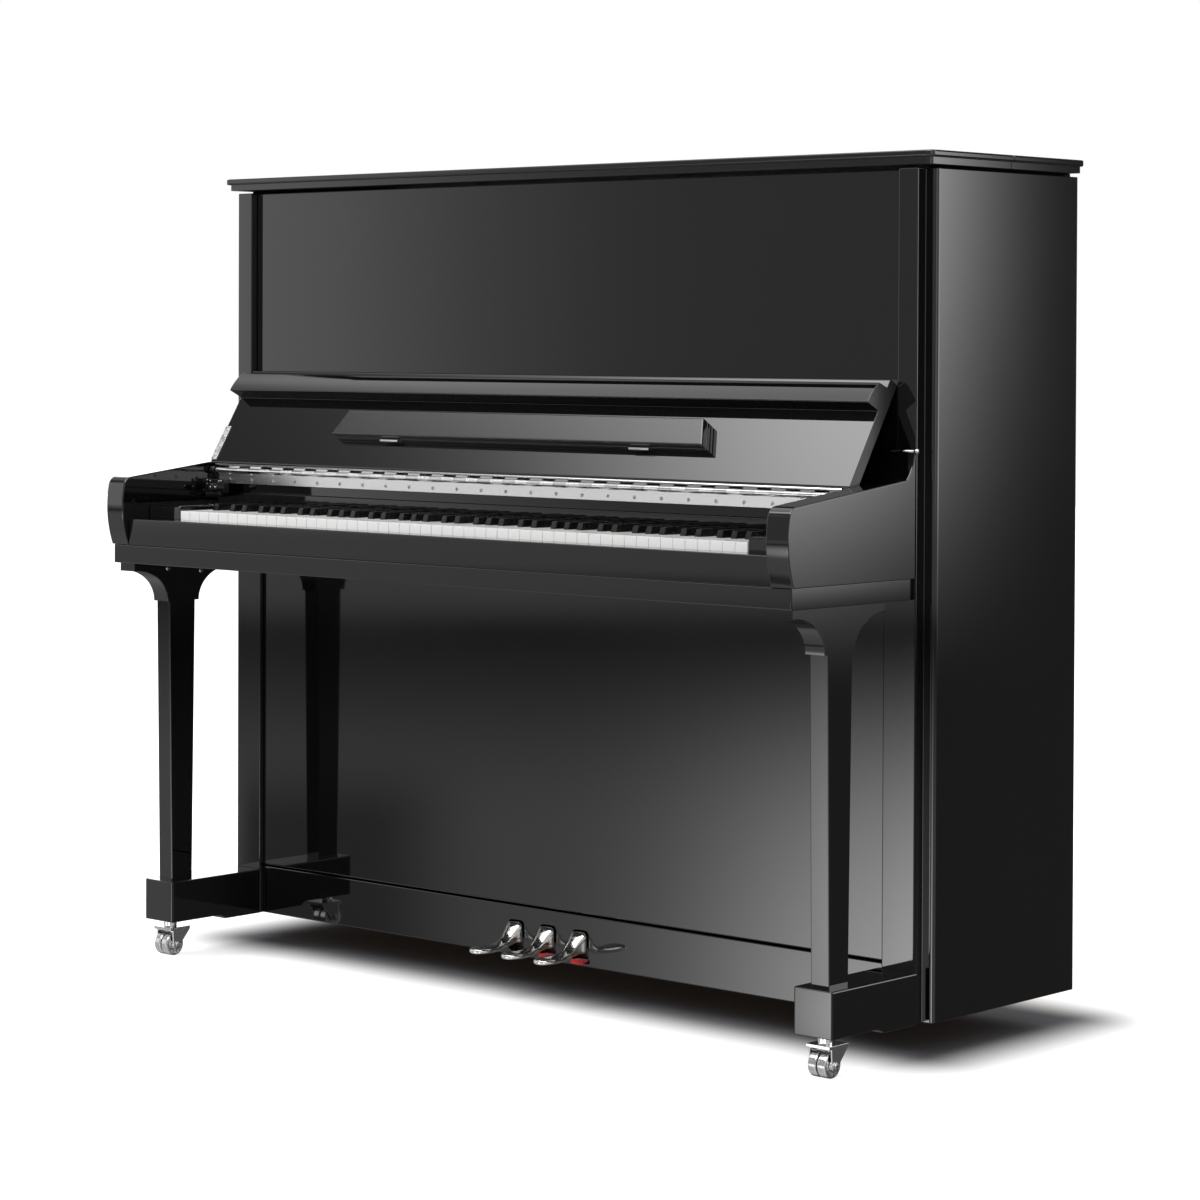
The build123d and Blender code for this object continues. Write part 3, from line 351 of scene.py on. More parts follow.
NODE_FINISH = {
    "hammers": split_finish("hammer_finish", 2, HAMMER_FELT_Z, (0.55, 0.40, 0.24), (0.80, 0.78, 0.72)),
    "dampers": split_finish("damper_finish", 2, DAMPER_FELT_Z, (0.40, 0.36, 0.30), (0.78, 0.76, 0.70)),
    "muffler_rail": split_finish("muffler_finish", 2, MUFFLER_WOOD_Z, (0.74, 0.72, 0.66), (0.55, 0.40, 0.24),
                                 rough=(0.9, 0.6)),
    "fall_hinge_fixed": FINISH["leaf_chrome"],
}


for name, node in NODES.items():
    for slot in node.material_slots:
        slot.material = NODE_FINISH.get(name) or FINISH[SLOT_OF[name]]


# ---------------------------------------------------------------- mesh helpers
def mesh_piece(name, mesh, finish, body, replaces=()):
    """An object that moves with a body, and may stand for nodes of the frame."""
    obj = bpy.data.objects.new(name, mesh)
    bpy.context.scene.collection.objects.link(obj)
    mesh.materials.clear()
    mesh.materials.append(finish)
    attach(obj, body)
    if replaces:
        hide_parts(*replaces)
    return obj


def add_bevel(obj, width, segments=2, angle=EDGE_ANGLE, clamp=False):
    """Rounded edges with their shading baked into a plain mesh."""
    bevel = obj.modifiers.new("edge", "BEVEL")
    bevel.width = width
    bevel.segments = segments
    bevel.limit_method = "ANGLE"
    bevel.angle_limit = math.radians(angle)
    bevel.use_clamp_overlap = clamp
    flat = obj.modifiers.new("flat faces", "WEIGHTED_NORMAL")
    flat.mode = "FACE_AREA"
    flat.weight = 50
    for polygon in obj.data.polygons:
        polygon.use_smooth = True


def softened(node_name, width, finish=None, angle=EDGE_ANGLE, clamp=False):
    """A copy of a node whose sharp edges are rounded, which stands for it."""
    node = NODES[node_name]
    mesh = node.data.copy()
    mesh.name = node_name + "_soft"
    work = bmesh.new()
    work.from_mesh(mesh)
    bmesh.ops.remove_doubles(work, verts=work.verts, dist=2e-6)
    bmesh.ops.dissolve_limit(work, angle_limit=math.radians(0.6), verts=work.verts, edges=work.edges)
    work.to_mesh(mesh)
    work.free()
    slot = SLOT_OF[node_name]
    obj = mesh_piece(node_name + "_soft", mesh, finish or FINISH[slot], BODY_OF[node_name], (node_name,))
    add_bevel(obj, width, angle=angle, clamp=clamp)
    return obj


# ---------------------------------------------------------------- case, panels and keyboard
CASE_EDGES = {  # how wide each piece's rounded edges are, in metres
    "side_left": 0.0012,
    "side_right": 0.0012,
    "keybed": 0.0008,
    "key_slip": 0.0010,
    "key_blocks": 0.0015,
    "leg_left": 0.0016,
    "leg_right": 0.0016,
    "toe_left": 0.0016,
    "toe_right": 0.0016,
    "bottom_rail": 0.0010,
    "bottom_panel": 0.0012,
    "upper_panel": 0.0012,
    "nameboard": 0.0010,
    "fall_shelf": 0.0008,
    "fallboard": 0.0010,
    "desk_batten": 0.0012,
    "music_desk": 0.0012,
    "lid_front": 0.0009,
    "lid_rear": 0.0009,
    "arm_left": 0.0006,
    "arm_right": 0.0006,
}
CLAMPED = ("lid_", "leg_")  # pieces with edges so short that unclamped roundings would cross


def soften_case():
    for node_name, width in CASE_EDGES.items():
        angle = ROUNDED_EDGE_ANGLE if node_name.startswith("arm_") else EDGE_ANGLE
        clamp = node_name.startswith(CLAMPED)
        piece = softened(node_name, width, CASE_FINISH.get(node_name), angle, clamp)
        if node_name == "fallboard":
            # painted shade: the lip's downward faces take the darker, barely reflective black
            piece.data.materials.append(LIP_PAINTED_SHADE)
            for polygon in piece.data.polygons:
                polygon.material_index = int(polygon.normal.z < -0.5 and polygon.center.z > LIP_LOWEST_Z)


def soften_casters():
    for corner in CORNERS:
        softened("caster_fork_" + corner, 0.0006)
        softened("caster_wheels_" + corner, 0.0009)


def soften_keys():
    for note in NOTES:
        sharp = note.endswith("_sharp")
        softened("keys_" + note, 0.0007 if sharp else 0.0005, clamp=sharp)


soften_case()
soften_casters()
soften_keys()


# ---------------------------------------------------------------- fittings
def fall_point(x, up, out):
    """A point on the open fallboard: across, up its slope, out from its hinge axis. Millimetres."""
    lean_sin, lean_cos = math.sin(FALL_LEAN), math.cos(FALL_LEAN)
    return Vector((x / 1000, FALL_AXIS.y + (up * lean_sin - out * lean_cos) / 1000,
                   FALL_AXIS.z + (up * lean_cos + out * lean_sin) / 1000))


def lathe(work, profile, centre, axis, steps=32):
    """Adds a turned shape: profile holds (distance along the axis, radius) in metres."""
    axis = Vector(axis).normalized()
    side = axis.orthogonal().normalized()
    other = axis.cross(side)
    rings = []
    for along, radius in profile:
        middle = Vector(centre) + axis * along
        if radius < 1e-6:
            rings.append([work.verts.new(middle)])
            continue
        turns = (2 * math.pi * k / steps for k in range(steps))
        rings.append([work.verts.new(middle + (side * math.cos(a) + other * math.sin(a)) * radius) for a in turns])
    for first, second in zip(rings, rings[1:]):
        for k in range(steps):
            loop = [first[k % len(first)], first[(k + 1) % len(first)], second[(k + 1) % len(second)],
                    second[k % len(second)]]
            loop = list(dict.fromkeys(loop))
            if len(loop) > 2:
                work.faces.new(loop)
    for ring in (rings[0], rings[-1]):
        if len(ring) > 2:
            work.faces.new(ring)


def block(work, corners):
    """Adds a six-sided block from its eight corners: four below, four above."""
    verts = [work.verts.new(c) for c in corners]
    for face in ((3, 2, 1, 0), (4, 5, 6, 7), (0, 1, 5, 4), (1, 2, 6, 5), (2, 3, 7, 6), (3, 0, 4, 7)):
        work.faces.new([verts[k] for k in face])


def straight_block(work, low, high):
    (x0, y0, z0), (x1, y1, z1) = low, high
    block(work, [(x0, y0, z0), (x1, y0, z0), (x1, y1, z0), (x0, y1, z0),
                 (x0, y0, z1), (x1, y0, z1), (x1, y1, z1), (x0, y1, z1)])


def from_work(name, work, smooth=True):
    bmesh.ops.remove_doubles(work, verts=work.verts, dist=1e-7)
    bmesh.ops.recalc_face_normals(work, faces=work.faces)
    mesh = bpy.data.meshes.new(name)
    work.to_mesh(mesh)
    work.free()
    for polygon in mesh.polygons:
        polygon.use_smooth = smooth
    return mesh


def screw_head(radius, height):
    """A domed head with a cross recess, facing -Y, its seat at the origin."""
    work = bmesh.new()
    profile = [(0.0, radius), (height * 0.35, radius * 0.97), (height * 0.7, radius * 0.8), (height, radius * 0.42),
               (height * 1.02, 0.0)]
    lathe(work, profile, (0, 0, 0), (0, -1, 0), 24)
    head = bpy.data.objects.new("screw_head", from_work("screw_head", work))
    bpy.context.scene.collection.objects.link(head)
    cut = bmesh.new()
    arm, half = radius * 0.55, radius * 0.11
    straight_block(cut, (-arm, -height * 1.6, -half), (arm, -height * 0.45, half))
    recess = bpy.data.objects.new("recess", from_work("recess", cut, False))
    bpy.context.scene.collection.objects.link(recess)
    cross = recess.copy()
    cross.data = recess.data.copy()
    cross.data.transform(Matrix.Rotation(math.pi / 2, 4, "Y"))
    bpy.context.scene.collection.objects.link(cross)
    for tool in (recess, cross):
        boolean = head.modifiers.new("recess", "BOOLEAN")
        boolean.operation = "DIFFERENCE"
        boolean.object = tool
    shape = bpy.data.meshes.new_from_object(head.evaluated_get(bpy.context.evaluated_depsgraph_get()))
    head.modifiers.clear()
    head.data = shape
    for tool in (recess, cross):
        bpy.data.objects.remove(tool)
    return head


class Fields:
    """Builds a Geometry Nodes tree with named inputs."""

    def __init__(self, name):
        self.tree = bpy.data.node_groups.new(name, "GeometryNodeTree")
        self.face = self.tree.interface
        self.given = {}
        self.face.new_socket("Geometry", in_out="OUTPUT", socket_type="NodeSocketGeometry")

    def ask(self, name, kind, value):
        socket = self.face.new_socket(name, in_out="INPUT", socket_type=kind)
        self.given[socket.identifier] = value
        return name

    def open(self):
        self.source = self.tree.nodes.new("NodeGroupInput")
        self.sink = self.tree.nodes.new("NodeGroupOutput")

    def node(self, kind, **settings):
        made = self.tree.nodes.new(kind)
        for key, value in settings.items():
            setattr(made, key, value)
        return made

    def link(self, source, target):
        self.tree.links.new(source, target)

    def result(self, name):
        """The tree's mesh, made real."""
        host = bpy.data.objects.new(name, bpy.data.meshes.new(name))
        bpy.context.scene.collection.objects.link(host)
        modifier = host.modifiers.new("fields", "NODES")
        modifier.node_group = self.tree
        for identifier, value in self.given.items():
            modifier[identifier] = value
        bpy.context.view_layer.update()
        shape = bpy.data.meshes.new_from_object(host.evaluated_get(bpy.context.evaluated_depsgraph_get()))
        host.modifiers.clear()
        bpy.data.objects.remove(host)
        return shape


def row_of(name, master, start, step, count, seed, finish):
    """A row of one part, each turned at random about its own axis."""
    fields = Fields(name)
    fields.ask("Start", "NodeSocketVector", tuple(start))
    fields.ask("Step", "NodeSocketVector", tuple(step))
    fields.ask("Count", "NodeSocketInt", count)
    fields.ask("Seed", "NodeSocketInt", seed)
    fields.ask("Part", "NodeSocketObject", master)
    fields.ask("Finish", "NodeSocketMaterial", finish)
    fields.open()
    line = fields.node("GeometryNodeMeshLine", mode="OFFSET")
    fields.link(fields.source.outputs["Count"], line.inputs["Count"])
    fields.link(fields.source.outputs["Start"], line.inputs["Start Location"])
    fields.link(fields.source.outputs["Step"], line.inputs["Offset"])
    turn = fields.node("FunctionNodeRandomValue", data_type="FLOAT_VECTOR")
    turn.inputs[0].default_value = (0.0, 0.0, 0.0)
    turn.inputs[1].default_value = (0.0, 3.14, 0.0)
    fields.link(fields.source.outputs["Seed"], turn.inputs["Seed"])
    info = fields.node("GeometryNodeObjectInfo")
    fields.link(fields.source.outputs["Part"], info.inputs["Object"])
    place = fields.node("GeometryNodeInstanceOnPoints")
    fields.link(line.outputs["Mesh"], place.inputs["Points"])
    fields.link(info.outputs["Geometry"], place.inputs["Instance"])
    fields.link(turn.outputs[0], place.inputs["Rotation"])
    real = fields.node("GeometryNodeRealizeInstances")
    fields.link(place.outputs[0], real.inputs[0])
    paint = fields.node("GeometryNodeSetMaterial")
    fields.link(real.outputs[0], paint.inputs["Geometry"])
    fields.link(fields.source.outputs["Finish"], paint.inputs["Material"])
    fields.link(paint.outputs[0], fields.sink.inputs[0])
    return fields.result(name)


def hinge_screws():
    """The row of screws in the long leaf under the fallboard."""
    head = screw_head(LEAF_SCREW_RADIUS, LEAF_SCREW_HEIGHT)
    count = int(2 * (LEAF_HALF - LEAF_SCREW_INSET) / SCREW_PITCH) + 1
    start = (-SCREW_PITCH * (count - 1) / 2, LEAF_FRONT_Y, LEAF_SCREW_Z)
    mesh = row_of("leaf_screws", head, start, (SCREW_PITCH, 0, 0), count, LEAF_SCREW_SEED, SCREW_STEEL)
    mesh_piece("leaf_screws", mesh, SCREW_STEEL, "cabinet")
    bpy.data.objects.remove(head)


# (distance along the axis, radius) of the small screws' heads
DAMPER_SCREW = [(0, 0.0021), (0.0006, 0.0020), (0.0010, 0.0012), (0.0011, 0)]
PLATE_SCREW = [(0, 0.0017), (0.0005, 0.0016), (0.0009, 0)]
BRACKET_SCREW = [(0, 0.0026), (0.0006, 0.0024), (0.0011, 0.0014), (0.0012, 0)]
LEG_SCREW = [(0, 0.0046), (0.0008, 0.0043), (0.0016, 0.0026), (0.0018, 0)]


def damper_unit():
    """The black soft-fall damper in the left corner, in front of the hinge leaf's end."""
    plate_x, front = -0.6884, -0.1500  # the side plate's inner face and the body's front
    work = bmesh.new()
    straight_block(work, (-0.6902, -0.1545, 0.7745), (plate_x, -0.1385, 0.8080))
    straight_block(work, (-0.6876, front, 0.7840), (-0.6490, -0.1374, 0.8062))
    lathe(work, [(0, 0.0066), (0.0120, 0.0066), (0.0128, 0.0052)], (-0.6688, front, 0.7930), (0, -1, 0))
    lathe(work, [(0, 0.0044), (0.0165, 0.0044), (0.0172, 0.0034)], (-0.6520, front, 0.7900), (0, -1, 0.2), 24)
    lathe(work, [(0, 0.0066), (0.0095, 0.0066), (0.0103, 0.0058)], (-0.6885, FALL_AXIS.y, FALL_AXIS.z), (1, 0, 0))
    lathe(work, [(0, 0.0040), (0.034, 0.0040), (0.0346, 0.0030)], (-0.6860, -0.1545, 0.7795), (1, 0.05, 0.1), 24)
    body = mesh_piece("damper_body", from_work("damper_body", work, False), DARK_PART, "cabinet")
    add_bevel(body, 0.0006, 2, 40)
    work = bmesh.new()
    spots = ((-0.6835, front, 0.8030), (-0.6560, front, 0.8030), (-0.6810, front, 0.7865),
             (-0.6688, -0.1628, 0.7930), (-0.6520, -0.1672, 0.7934), (-0.6620, front, 0.8025))
    for spot in spots:
        lathe(work, DAMPER_SCREW, spot, (0, -1, 0), 16)
    for y, z in ((-0.1515, 0.8045), (-0.1515, 0.7980), (-0.1515, 0.7790), (-0.1465, 0.7790)):
        lathe(work, PLATE_SCREW, (plate_x, y, z), (1, 0, 0), 14)
    lathe(work, DAMPER_SCREW, (-0.6782, FALL_AXIS.y, FALL_AXIS.z), (1, 0, 0), 16)
    mesh_piece("damper_screws", from_work("damper_screws", work), SCREW_STEEL, "cabinet")


def fall_bracket():
    """The bright angle at the fallboard's left end, which the damper's lever holds."""
    edge = -FALL_HALF * 1000
    face = FALL_FACE * 1000
    x0, x1 = edge - 1.5, edge + 11.5
    inner, outer = face + 0.05, face + 1.2
    ring = ((x0, outer), (x1, outer), (x1, inner), (x0, inner))
    work = bmesh.new()
    block(work, [fall_point(x, up, out) for up in (14.0, 80.0) for x, out in ring])
    plate = mesh_piece("fall_bracket", from_work("fall_bracket", work, False), FINISH["zinc_steel"], "fallboard")
    add_bevel(plate, 0.0003, 2, 40)
    work = bmesh.new()
    out = fall_point(0, 0, 1) - fall_point(0, 0, 0)
    for up in (22.0, 40.0, 60.0, 73.0):
        lathe(work, BRACKET_SCREW, fall_point(edge + 6.0, up, face + 1.15), out, 18)
    mesh_piece("fall_bracket_screws", from_work("fall_bracket_screws", work), SCREW_STEEL, "fallboard")


def pedal_felts():
    """Red felt that lines the lower edge of the slots and turns down in front of it."""
    half, front, top = 0.0140, -0.0440, 0.0628
    for side in ("middle", "right"):
        x = PEDAL_X[side]
        work = bmesh.new()
        straight_block(work, (x - half, front, 0.0603), (x + half, -0.0240, top))
        straight_block(work, (x - half, front, 0.0566), (x + half, -0.0390, top))
        felt = mesh_piece("slot_felt_" + side, from_work("slot_felt_" + side, work), RED_FELT, "cabinet")
        add_bevel(felt, 0.0010, 3, 40)


def slot_guards():
    """Dark plates that close the lower part of the pedal slots from behind."""
    half = 0.0165
    work = bmesh.new()
    for x in PEDAL_X.values():
        straight_block(work, (x - half, -0.0172, 0.0605), (x + half, -0.0160, 0.0790))
    mesh_piece("slot_guards", from_work("slot_guards", work, False), DARK_PART, "cabinet")


def loft(sections, steps=36):
    """A closed skin over rounded sections: (y, middle z, half width, half height, squareness), at x 0. Millimetres."""
    work = bmesh.new()
    rings = []
    for y, middle, half_width, half_height, square in sections:
        ring = []
        for k in range(steps):
            angle = 2 * math.pi * k / steps
            cos, sin = math.cos(angle), math.sin(angle)
            x = half_width * math.copysign(abs(cos) ** (2 / square), cos)
            z = middle + half_height * math.copysign(abs(sin) ** (2 / square), sin)
            ring.append(work.verts.new((x / 1000, y / 1000, z / 1000)))
        rings.append(ring)
    for first, second in zip(rings, rings[1:]):
        for k in range(steps):
            work.faces.new((first[k], first[(k + 1) % steps], second[(k + 1) % steps], second[k]))
    work.faces.new(rings[0])
    work.faces.new(rings[-1])
    return work


def smooth_sections(knots, count):
    """More sections between the given ones, on smooth curves."""
    table = np.array(knots, dtype=float)
    spans = np.concatenate(([0.0], np.cumsum(np.hypot(np.diff(table[:, 0]), np.diff(table[:, 1])) + 0.5)))
    slopes = np.gradient(table, spans, axis=0)
    result = []
    for where in np.linspace(0.0, spans[-1], count):
        k = min(int(np.searchsorted(spans, where, side="right")) - 1, len(spans) - 2)
        step = spans[k + 1] - spans[k]
        t = (where - spans[k]) / step
        row = ((2 * t**3 - 3 * t**2 + 1) * table[k] + (t**3 - 2 * t**2 + t) * step * slopes[k]
               + (3 * t**2 - 2 * t**3) * table[k + 1] + (t**3 - t**2) * step * slopes[k + 1])
        row[2:4] = np.maximum(row[2:4], 0.2)
        result.append(tuple(row))
    return result


def pedals():
    """Polished pedals: a flared bell over the slot, a waisted neck and a thick rounded pad, on a flat arm."""
    knots = [(-38.4, 90.5, 16.1, 17.4, 4.0), (-39.6, 90.5, 16.3, 17.6, 4.0), (-42.0, 90.2, 15.8, 17.0, 3.6),
             (-47.0, 88.0, 13.8, 15.2, 3.2), (-53.0, 84.0, 12.0, 12.4, 3.0), (-60.0, 79.5, 10.8, 9.0, 2.8),
             (-68.0, 75.5, 10.4, 6.8, 2.7), (-78.0, 72.8, 11.4, 5.6, 2.7), (-88.0, 71.6, 13.8, 5.0, 2.8),
             (-99.0, 71.4, 16.8, 4.8, 3.0), (-110.0, 71.8, 18.7, 4.8, 3.2), (-119.0, 72.0, 18.2, 4.7, 3.2),
             (-126.5, 72.0, 15.6, 4.5, 3.0), (-131.5, 71.8, 11.6, 4.0, 2.8), (-134.2, 71.6, 6.6, 3.0, 2.4),
             (-135.0, 71.5, 2.4, 1.4, 2.0)]
    sections = smooth_sections(knots, 70)
    for side, x in PEDAL_X.items():
        work = loft(sections)
        straight_block(work, (-0.012, -0.0380, 0.0890), (0.012, 0.0750, 0.1030))
        bmesh.ops.recalc_face_normals(work, faces=work.faces)
        for vert in work.verts:
            vert.co.x += x
        mesh = bpy.data.meshes.new("pedal_shape_" + side)
        work.to_mesh(mesh)
        work.free()
        shape = mesh_piece("pedal_shape_" + side, mesh, FINISH["polished_brass"], "pedal_" + side, ("pedal_" + side,))
        add_bevel(shape, 0.0005, 2, 50)


def panel_catch():
    """The steel rod and pin at each end of the upper panel's foot."""
    y, z = -0.0475, 0.8860
    work = bmesh.new()
    for side in SIDES:
        lathe(work, [(0, 0.0019), (0.042, 0.0019)], (side * 0.6905, y, z), (side, 0, 0), 20)
        lathe(work, [(0, 0.0030), (0.0008, 0.0042), (0.0050, 0.0042), (0.0058, 0.0034)],
              (side * 0.7330, y, z), (side, 0, 0), 24)
    mesh_piece("panel_catch", from_work("panel_catch", work), SCREW_STEEL, "cabinet")


def leg_screws():
    """Screws on the inner faces of the leg brackets."""
    face_x = 0.6860
    work = bmesh.new()
    for side in SIDES:
        for y, z in ((-0.2416, 0.6583), (-0.1681, 0.6514)):
            lathe(work, LEG_SCREW, (side * face_x, y, z), (-side, 0, 0), 20)
    mesh_piece("leg_screws", from_work("leg_screws", work), SCREW_STEEL, "cabinet")


def axle_nuts():
    """A hexagon nut and washer on each end of the caster axles."""
    for corner in CORNERS:
        low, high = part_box("caster_wheels_" + corner)
        middle = [(a + b) / 2 for a, b in zip(low, high)]
        work = bmesh.new()
        for side in SIDES:
            start = (middle[0] + side * FORK_OUTER_HALF, middle[1], middle[2])
            lathe(work, [(0, 0.0062), (0.0007, 0.0062), (0.0009, 0.0058)], start, (side, 0, 0), 24)
            lathe(work, [(0.0008, 0.0050), (0.0034, 0.0050), (0.0040, 0.0042)], start, (side, 0, 0), 6)
        nuts = mesh_piece("axle_nuts_" + corner, from_work("axle_nuts_" + corner, work, False), SCREW_STEEL,
                          "caster_" + corner)
        add_bevel(nuts, 0.0002, 1, 30)


for add_fittings in (hinge_screws, damper_unit, fall_bracket, pedal_felts, slot_guards, pedals, panel_catch,
                     leg_screws, axle_nuts):
    add_fittings()


# ---------------------------------------------------------------- studio
# The studio is given by direction, in degrees: turn is the angle from the front, to either side, and lift is the
# angle above the horizon. All levels are scaled by the background nodes' own grey of 0.8.
BASE_LEVEL = 0.11  # what polished surfaces see where nothing else is
MATT_LEVEL = 0.62  # what matt surfaces see all round
WALL_LEVELS = ((0, 0.42), (20, 0.36), (36, 0.26), (40, 0.27), (42.8, 0.43), (45.4, 0.80), (47.4, 1.12), (50, 1.25),
               (62, 1.15), (85, 0.6), (115, 0.4), (135, 0.2), (141, 0.02), (150, 0.02), (165, 0.3), (180, 0.4))
WALL_SPAN = 180.0  # the curve's own axes run from 0 to 1, and these are their full lengths
WALL_TOP = 2.0


def curve_through(tree, value, points, span, top):
    """A smooth curve through (value, result) points."""
    made = tree.node("ShaderNodeFloatCurve")
    curve = made.mapping.curves[0]
    while len(curve.points) < len(points):
        curve.points.new(0.5, 0.5)
    for point, (place, level) in zip(curve.points, points):
        point.location = (place / span, level / top)
        point.handle_type = "AUTO_CLAMPED"
    made.mapping.update()
    tree.link(tree.math("DIVIDE", value, span), made.inputs["Value"])
    return tree.math("MULTIPLY", made.outputs[0], top)


def build_world():
    """A soft studio, as the polished surfaces see it: brightness by direction. The camera sees plain white."""
    world = bpy.data.worlds.new("studio")
    bpy.context.scene.world = world
    world.use_nodes = True
    tree = Tree(world.node_tree)
    x, y, z = tree.parts(tree.node("ShaderNodeTexCoord").outputs["Generated"])
    turn = tree.math("DEGREES", tree.math("ABSOLUTE", tree.math("ARCTAN2", x, tree.math("MULTIPLY", y, -1.0))))
    lift = tree.math("DEGREES", tree.math("ARCSINE", z))

    def both(first, second):
        return tree.math("MULTIPLY", first, second)

    def total(*values):
        result = values[0]
        for value in values[1:]:
            result = tree.math("ADD", result, value)
        return result

    # the wall band, level with the eye
    wall_level = curve_through(tree, turn, WALL_LEVELS, WALL_SPAN, WALL_TOP)
    wall_band = both(wall_level, both(tree.ramp(lift, -3.6, -1.2), tree.ramp(lift, 22.0, 35.0, 1.0, 0.0)))
    # the skirting under it, which fades towards the back
    skirting = both(both(tree.ramp(lift, -5.0, -4.2), tree.ramp(lift, -3.0, -1.4, 1.0, 0.0)), 0.45)
    skirting = both(skirting, tree.ramp(turn, 100.0, 130.0, 1.0, 0.0))
    # the haze over the floor, with a darker patch where the case's left end is mirrored
    floor_haze = both(tree.ramp(lift, -4.4, -8.4, 0.0, 0.55), tree.ramp(turn, 95.0, 132.0, 1.0, 0.0))
    dim = both(both(tree.ramp(turn, 43.6, 46.0, 0.0, 0.8), tree.ramp(turn, 47.6, 49.0, 1.0, 0.0)),
               tree.ramp(lift, -6.6, -8.2))
    floor_haze = both(floor_haze, tree.math("SUBTRACT", 1.0, dim))
    # the bright floor in front, which ends before the steep directions that only other views see
    glow_turn = both(tree.math("POWER", tree.ramp(turn, 44.5, 36.0), 2.0), tree.ramp(turn, 12.0, 26.0, 0.15, 1.0))
    floor_glow = both(both(glow_turn, tree.ramp(lift, -4.5, -11.3)), 5.0)
    floor_glow = both(floor_glow, tree.ramp(lift, -15.5, -11.6, 0.08, 1.0))
    # the tall soft box behind, to the side
    edge = tree.ramp(turn, 147.0, 140.5)
    tall = both(both(edge, edge), both(tree.ramp(lift, -6.0, 4.0), 11.0))
    tall = both(tree.math("MINIMUM", tall, 3.4), tree.ramp(turn, 96.0, 124.0))
    tall = both(tall, tree.ramp(lift, 20.0, 45.0, 1.0, 0.0))
    # the overhead soft box
    rise = tree.math("POWER", tree.ramp(lift, 35.4, 45.0), 1.6)
    overhead = both(both(rise, 5.8), tree.ramp(turn, 58.5, 68.0, 1.0, 0.22))
    overhead = tree.math("ADD", overhead, tree.ramp(lift, 31.0, 41.0, 0.0, 0.3))
    level = total(BASE_LEVEL, wall_band, skirting, floor_haze, floor_glow, tall, overhead)

    def background(strength):
        made = tree.node("ShaderNodeBackground")
        tree.feed(made.inputs["Strength"], strength)
        return made.outputs[0]

    def choose(ray, otherwise, then):
        made = tree.node("ShaderNodeMixShader")
        tree.link(paths.outputs[ray], made.inputs[0])
        tree.link(otherwise, made.inputs[1])
        tree.link(then, made.inputs[2])
        return made.outputs[0]

    paths = tree.node("ShaderNodeLightPath")
    light = choose("Is Glossy Ray", background(MATT_LEVEL), background(level))
    white = tree.node("ShaderNodeBackground")
    white.inputs["Color"].default_value = (1, 1, 1, 1)
    white.inputs["Strength"].default_value = 1.0
    seen = choose("Is Camera Ray", light, white.outputs[0])
    tree.link(seen, tree.node("ShaderNodeOutputWorld").inputs["Surface"])


FLOOR_HALF = 14.0
# the case's footprint, round which a shadow is painted on the floor, in metres
FOOT_HALF_X = 0.72
FOOT_MIDDLE_Y = 0.175
FOOT_HALF_Y = 0.180
SHADE_WIDTH = 0.17


def new_mesh(name, points, faces):
    mesh = bpy.data.meshes.new(name)
    mesh.from_pydata(points, [], faces)
    mesh.update()
    return mesh


def build_floor():
    """A pale floor with a painted shadow under the case, in its colour and its glow; only the camera sees it glow, and
    no polished surface sees it.
    """
    a = FLOOR_HALF
    mesh = new_mesh("floor", [(-a, -a, 0), (a, -a, 0), (a, a, 0), (-a, a, 0)], [(0, 1, 2, 3)])
    floor = bpy.data.objects.new("floor", mesh)
    bpy.context.scene.collection.objects.link(floor)
    made = bpy.data.materials.new("pale_floor")
    made.use_nodes = True
    tree = Tree(made.node_tree)
    matt = tree.node("ShaderNodeBsdfDiffuse")
    glow = tree.node("ShaderNodeEmission")
    across = tree.math("MAXIMUM", tree.math("SUBTRACT", tree.math("ABSOLUTE", tree.axis(0)), FOOT_HALF_X), 0.0)
    along = tree.math("ABSOLUTE", tree.math("SUBTRACT", tree.axis(1), FOOT_MIDDLE_Y))
    along = tree.math("MAXIMUM", tree.math("SUBTRACT", along, FOOT_HALF_Y), 0.0)
    away = tree.math("SQRT", tree.math("ADD", tree.math("POWER", across, 2.0), tree.math("POWER", along, 2.0)))
    # painted shadow: the floor's colour and its glow both darken towards the footprint, over the lamps' own shadow
    near = tree.ramp(away, 0.0, SHADE_WIDTH)
    tree.link(tree.mix(near, (0.14, 0.14, 0.15), (0.78, 0.78, 0.78)), matt.inputs["Color"])
    fade = tree.math("ADD", tree.math("MULTIPLY", near, 0.72), tree.ramp(away, 0.12, 0.9, 0.0, 0.28))
    camera_only = tree.math("MULTIPLY", fade, tree.node("ShaderNodeLightPath").outputs["Is Camera Ray"])
    tree.link(camera_only, glow.inputs["Strength"])
    both = tree.node("ShaderNodeAddShader")
    tree.link(matt.outputs[0], both.inputs[0])
    tree.link(glow.outputs[0], both.inputs[1])
    tree.link(both.outputs[0], tree.node("ShaderNodeOutputMaterial").inputs["Surface"])
    floor.data.materials.append(made)
    floor.visible_glossy = False


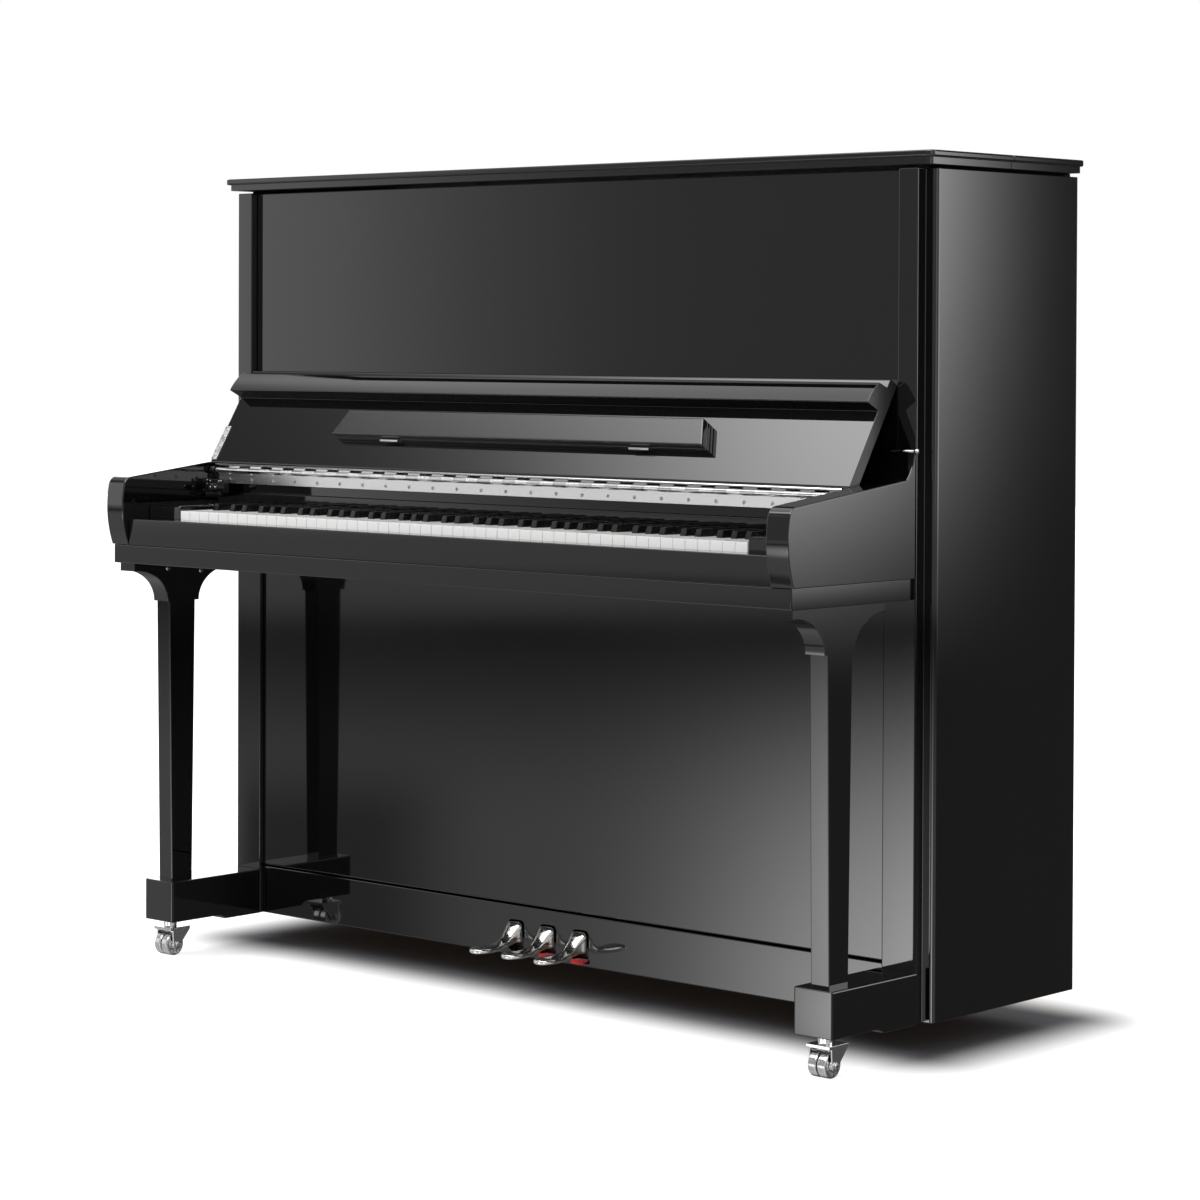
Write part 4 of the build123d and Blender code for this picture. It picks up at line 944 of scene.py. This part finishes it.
def area_light(name, place, target, size, power):
    """A rectangular lamp that lights the matt parts; no polished surface sees it."""
    data = bpy.data.lights.new(name, "AREA")
    data.shape = "RECTANGLE"
    data.size, data.size_y = size
    data.energy = power
    lamp = bpy.data.objects.new(name, data)
    lamp.location = place
    lamp.rotation_euler = (Vector(target) - Vector(place)).to_track_quat("-Z", "Y").to_euler()
    lamp.visible_glossy = False
    bpy.context.scene.collection.objects.link(lamp)


CAMERA_PLACE = (3.688, -4.008, 1.0464)
CAMERA_ANGLES = (42.0281, -1.0188, 0.2133)  # yaw, pitch and roll, in degrees
PICTURE_SIDE = 1200.0  # the picture's side, the focal length and the row the camera's axis meets, in pixels
FOCAL_LENGTH = 3399.2
AXIS_ROW = 400.0
SENSOR_WIDTH = 36.0


def build_camera():
    yaw, pitch, roll = (math.radians(a) for a in CAMERA_ANGLES)
    ahead = Vector((-math.sin(yaw) * math.cos(pitch), math.cos(yaw) * math.cos(pitch), math.sin(pitch)))
    right = Vector((math.cos(yaw), math.sin(yaw), 0.0))
    up = right.cross(ahead)
    side = right * math.cos(roll) + up * math.sin(roll)
    top = -right * math.sin(roll) + up * math.cos(roll)
    data = bpy.data.cameras.new("camera")
    data.sensor_width = SENSOR_WIDTH
    data.lens = FOCAL_LENGTH / PICTURE_SIDE * SENSOR_WIDTH
    data.shift_y = (AXIS_ROW - PICTURE_SIDE / 2) / PICTURE_SIDE
    data.clip_end = 60.0
    camera = bpy.data.objects.new("camera", data)
    turn = Matrix((side, top, -ahead)).transposed().to_4x4()
    camera.matrix_world = Matrix.Translation(CAMERA_PLACE) @ turn
    bpy.context.scene.collection.objects.link(camera)
    bpy.context.scene.camera = camera


LAMPS = (  # name, place and target in metres, size in metres, power in watts
    ("key", (-2.6, -2.4, 3.4), (0.0, 0.0, 0.5), (2.2, 2.2), 130.0),
    ("fill", (2.8, -3.4, 2.6), (0.0, 0.0, 0.6), (2.5, 2.5), 45.0),
    ("rear", (0.6, 3.4, 3.0), (0.0, 0.0, 0.8), (2.5, 2.0), 60.0),
)

build_world()
build_floor()
for lamp_row in LAMPS:
    area_light(*lamp_row)
build_camera()
bpy.context.scene.view_settings.view_transform = "Standard"
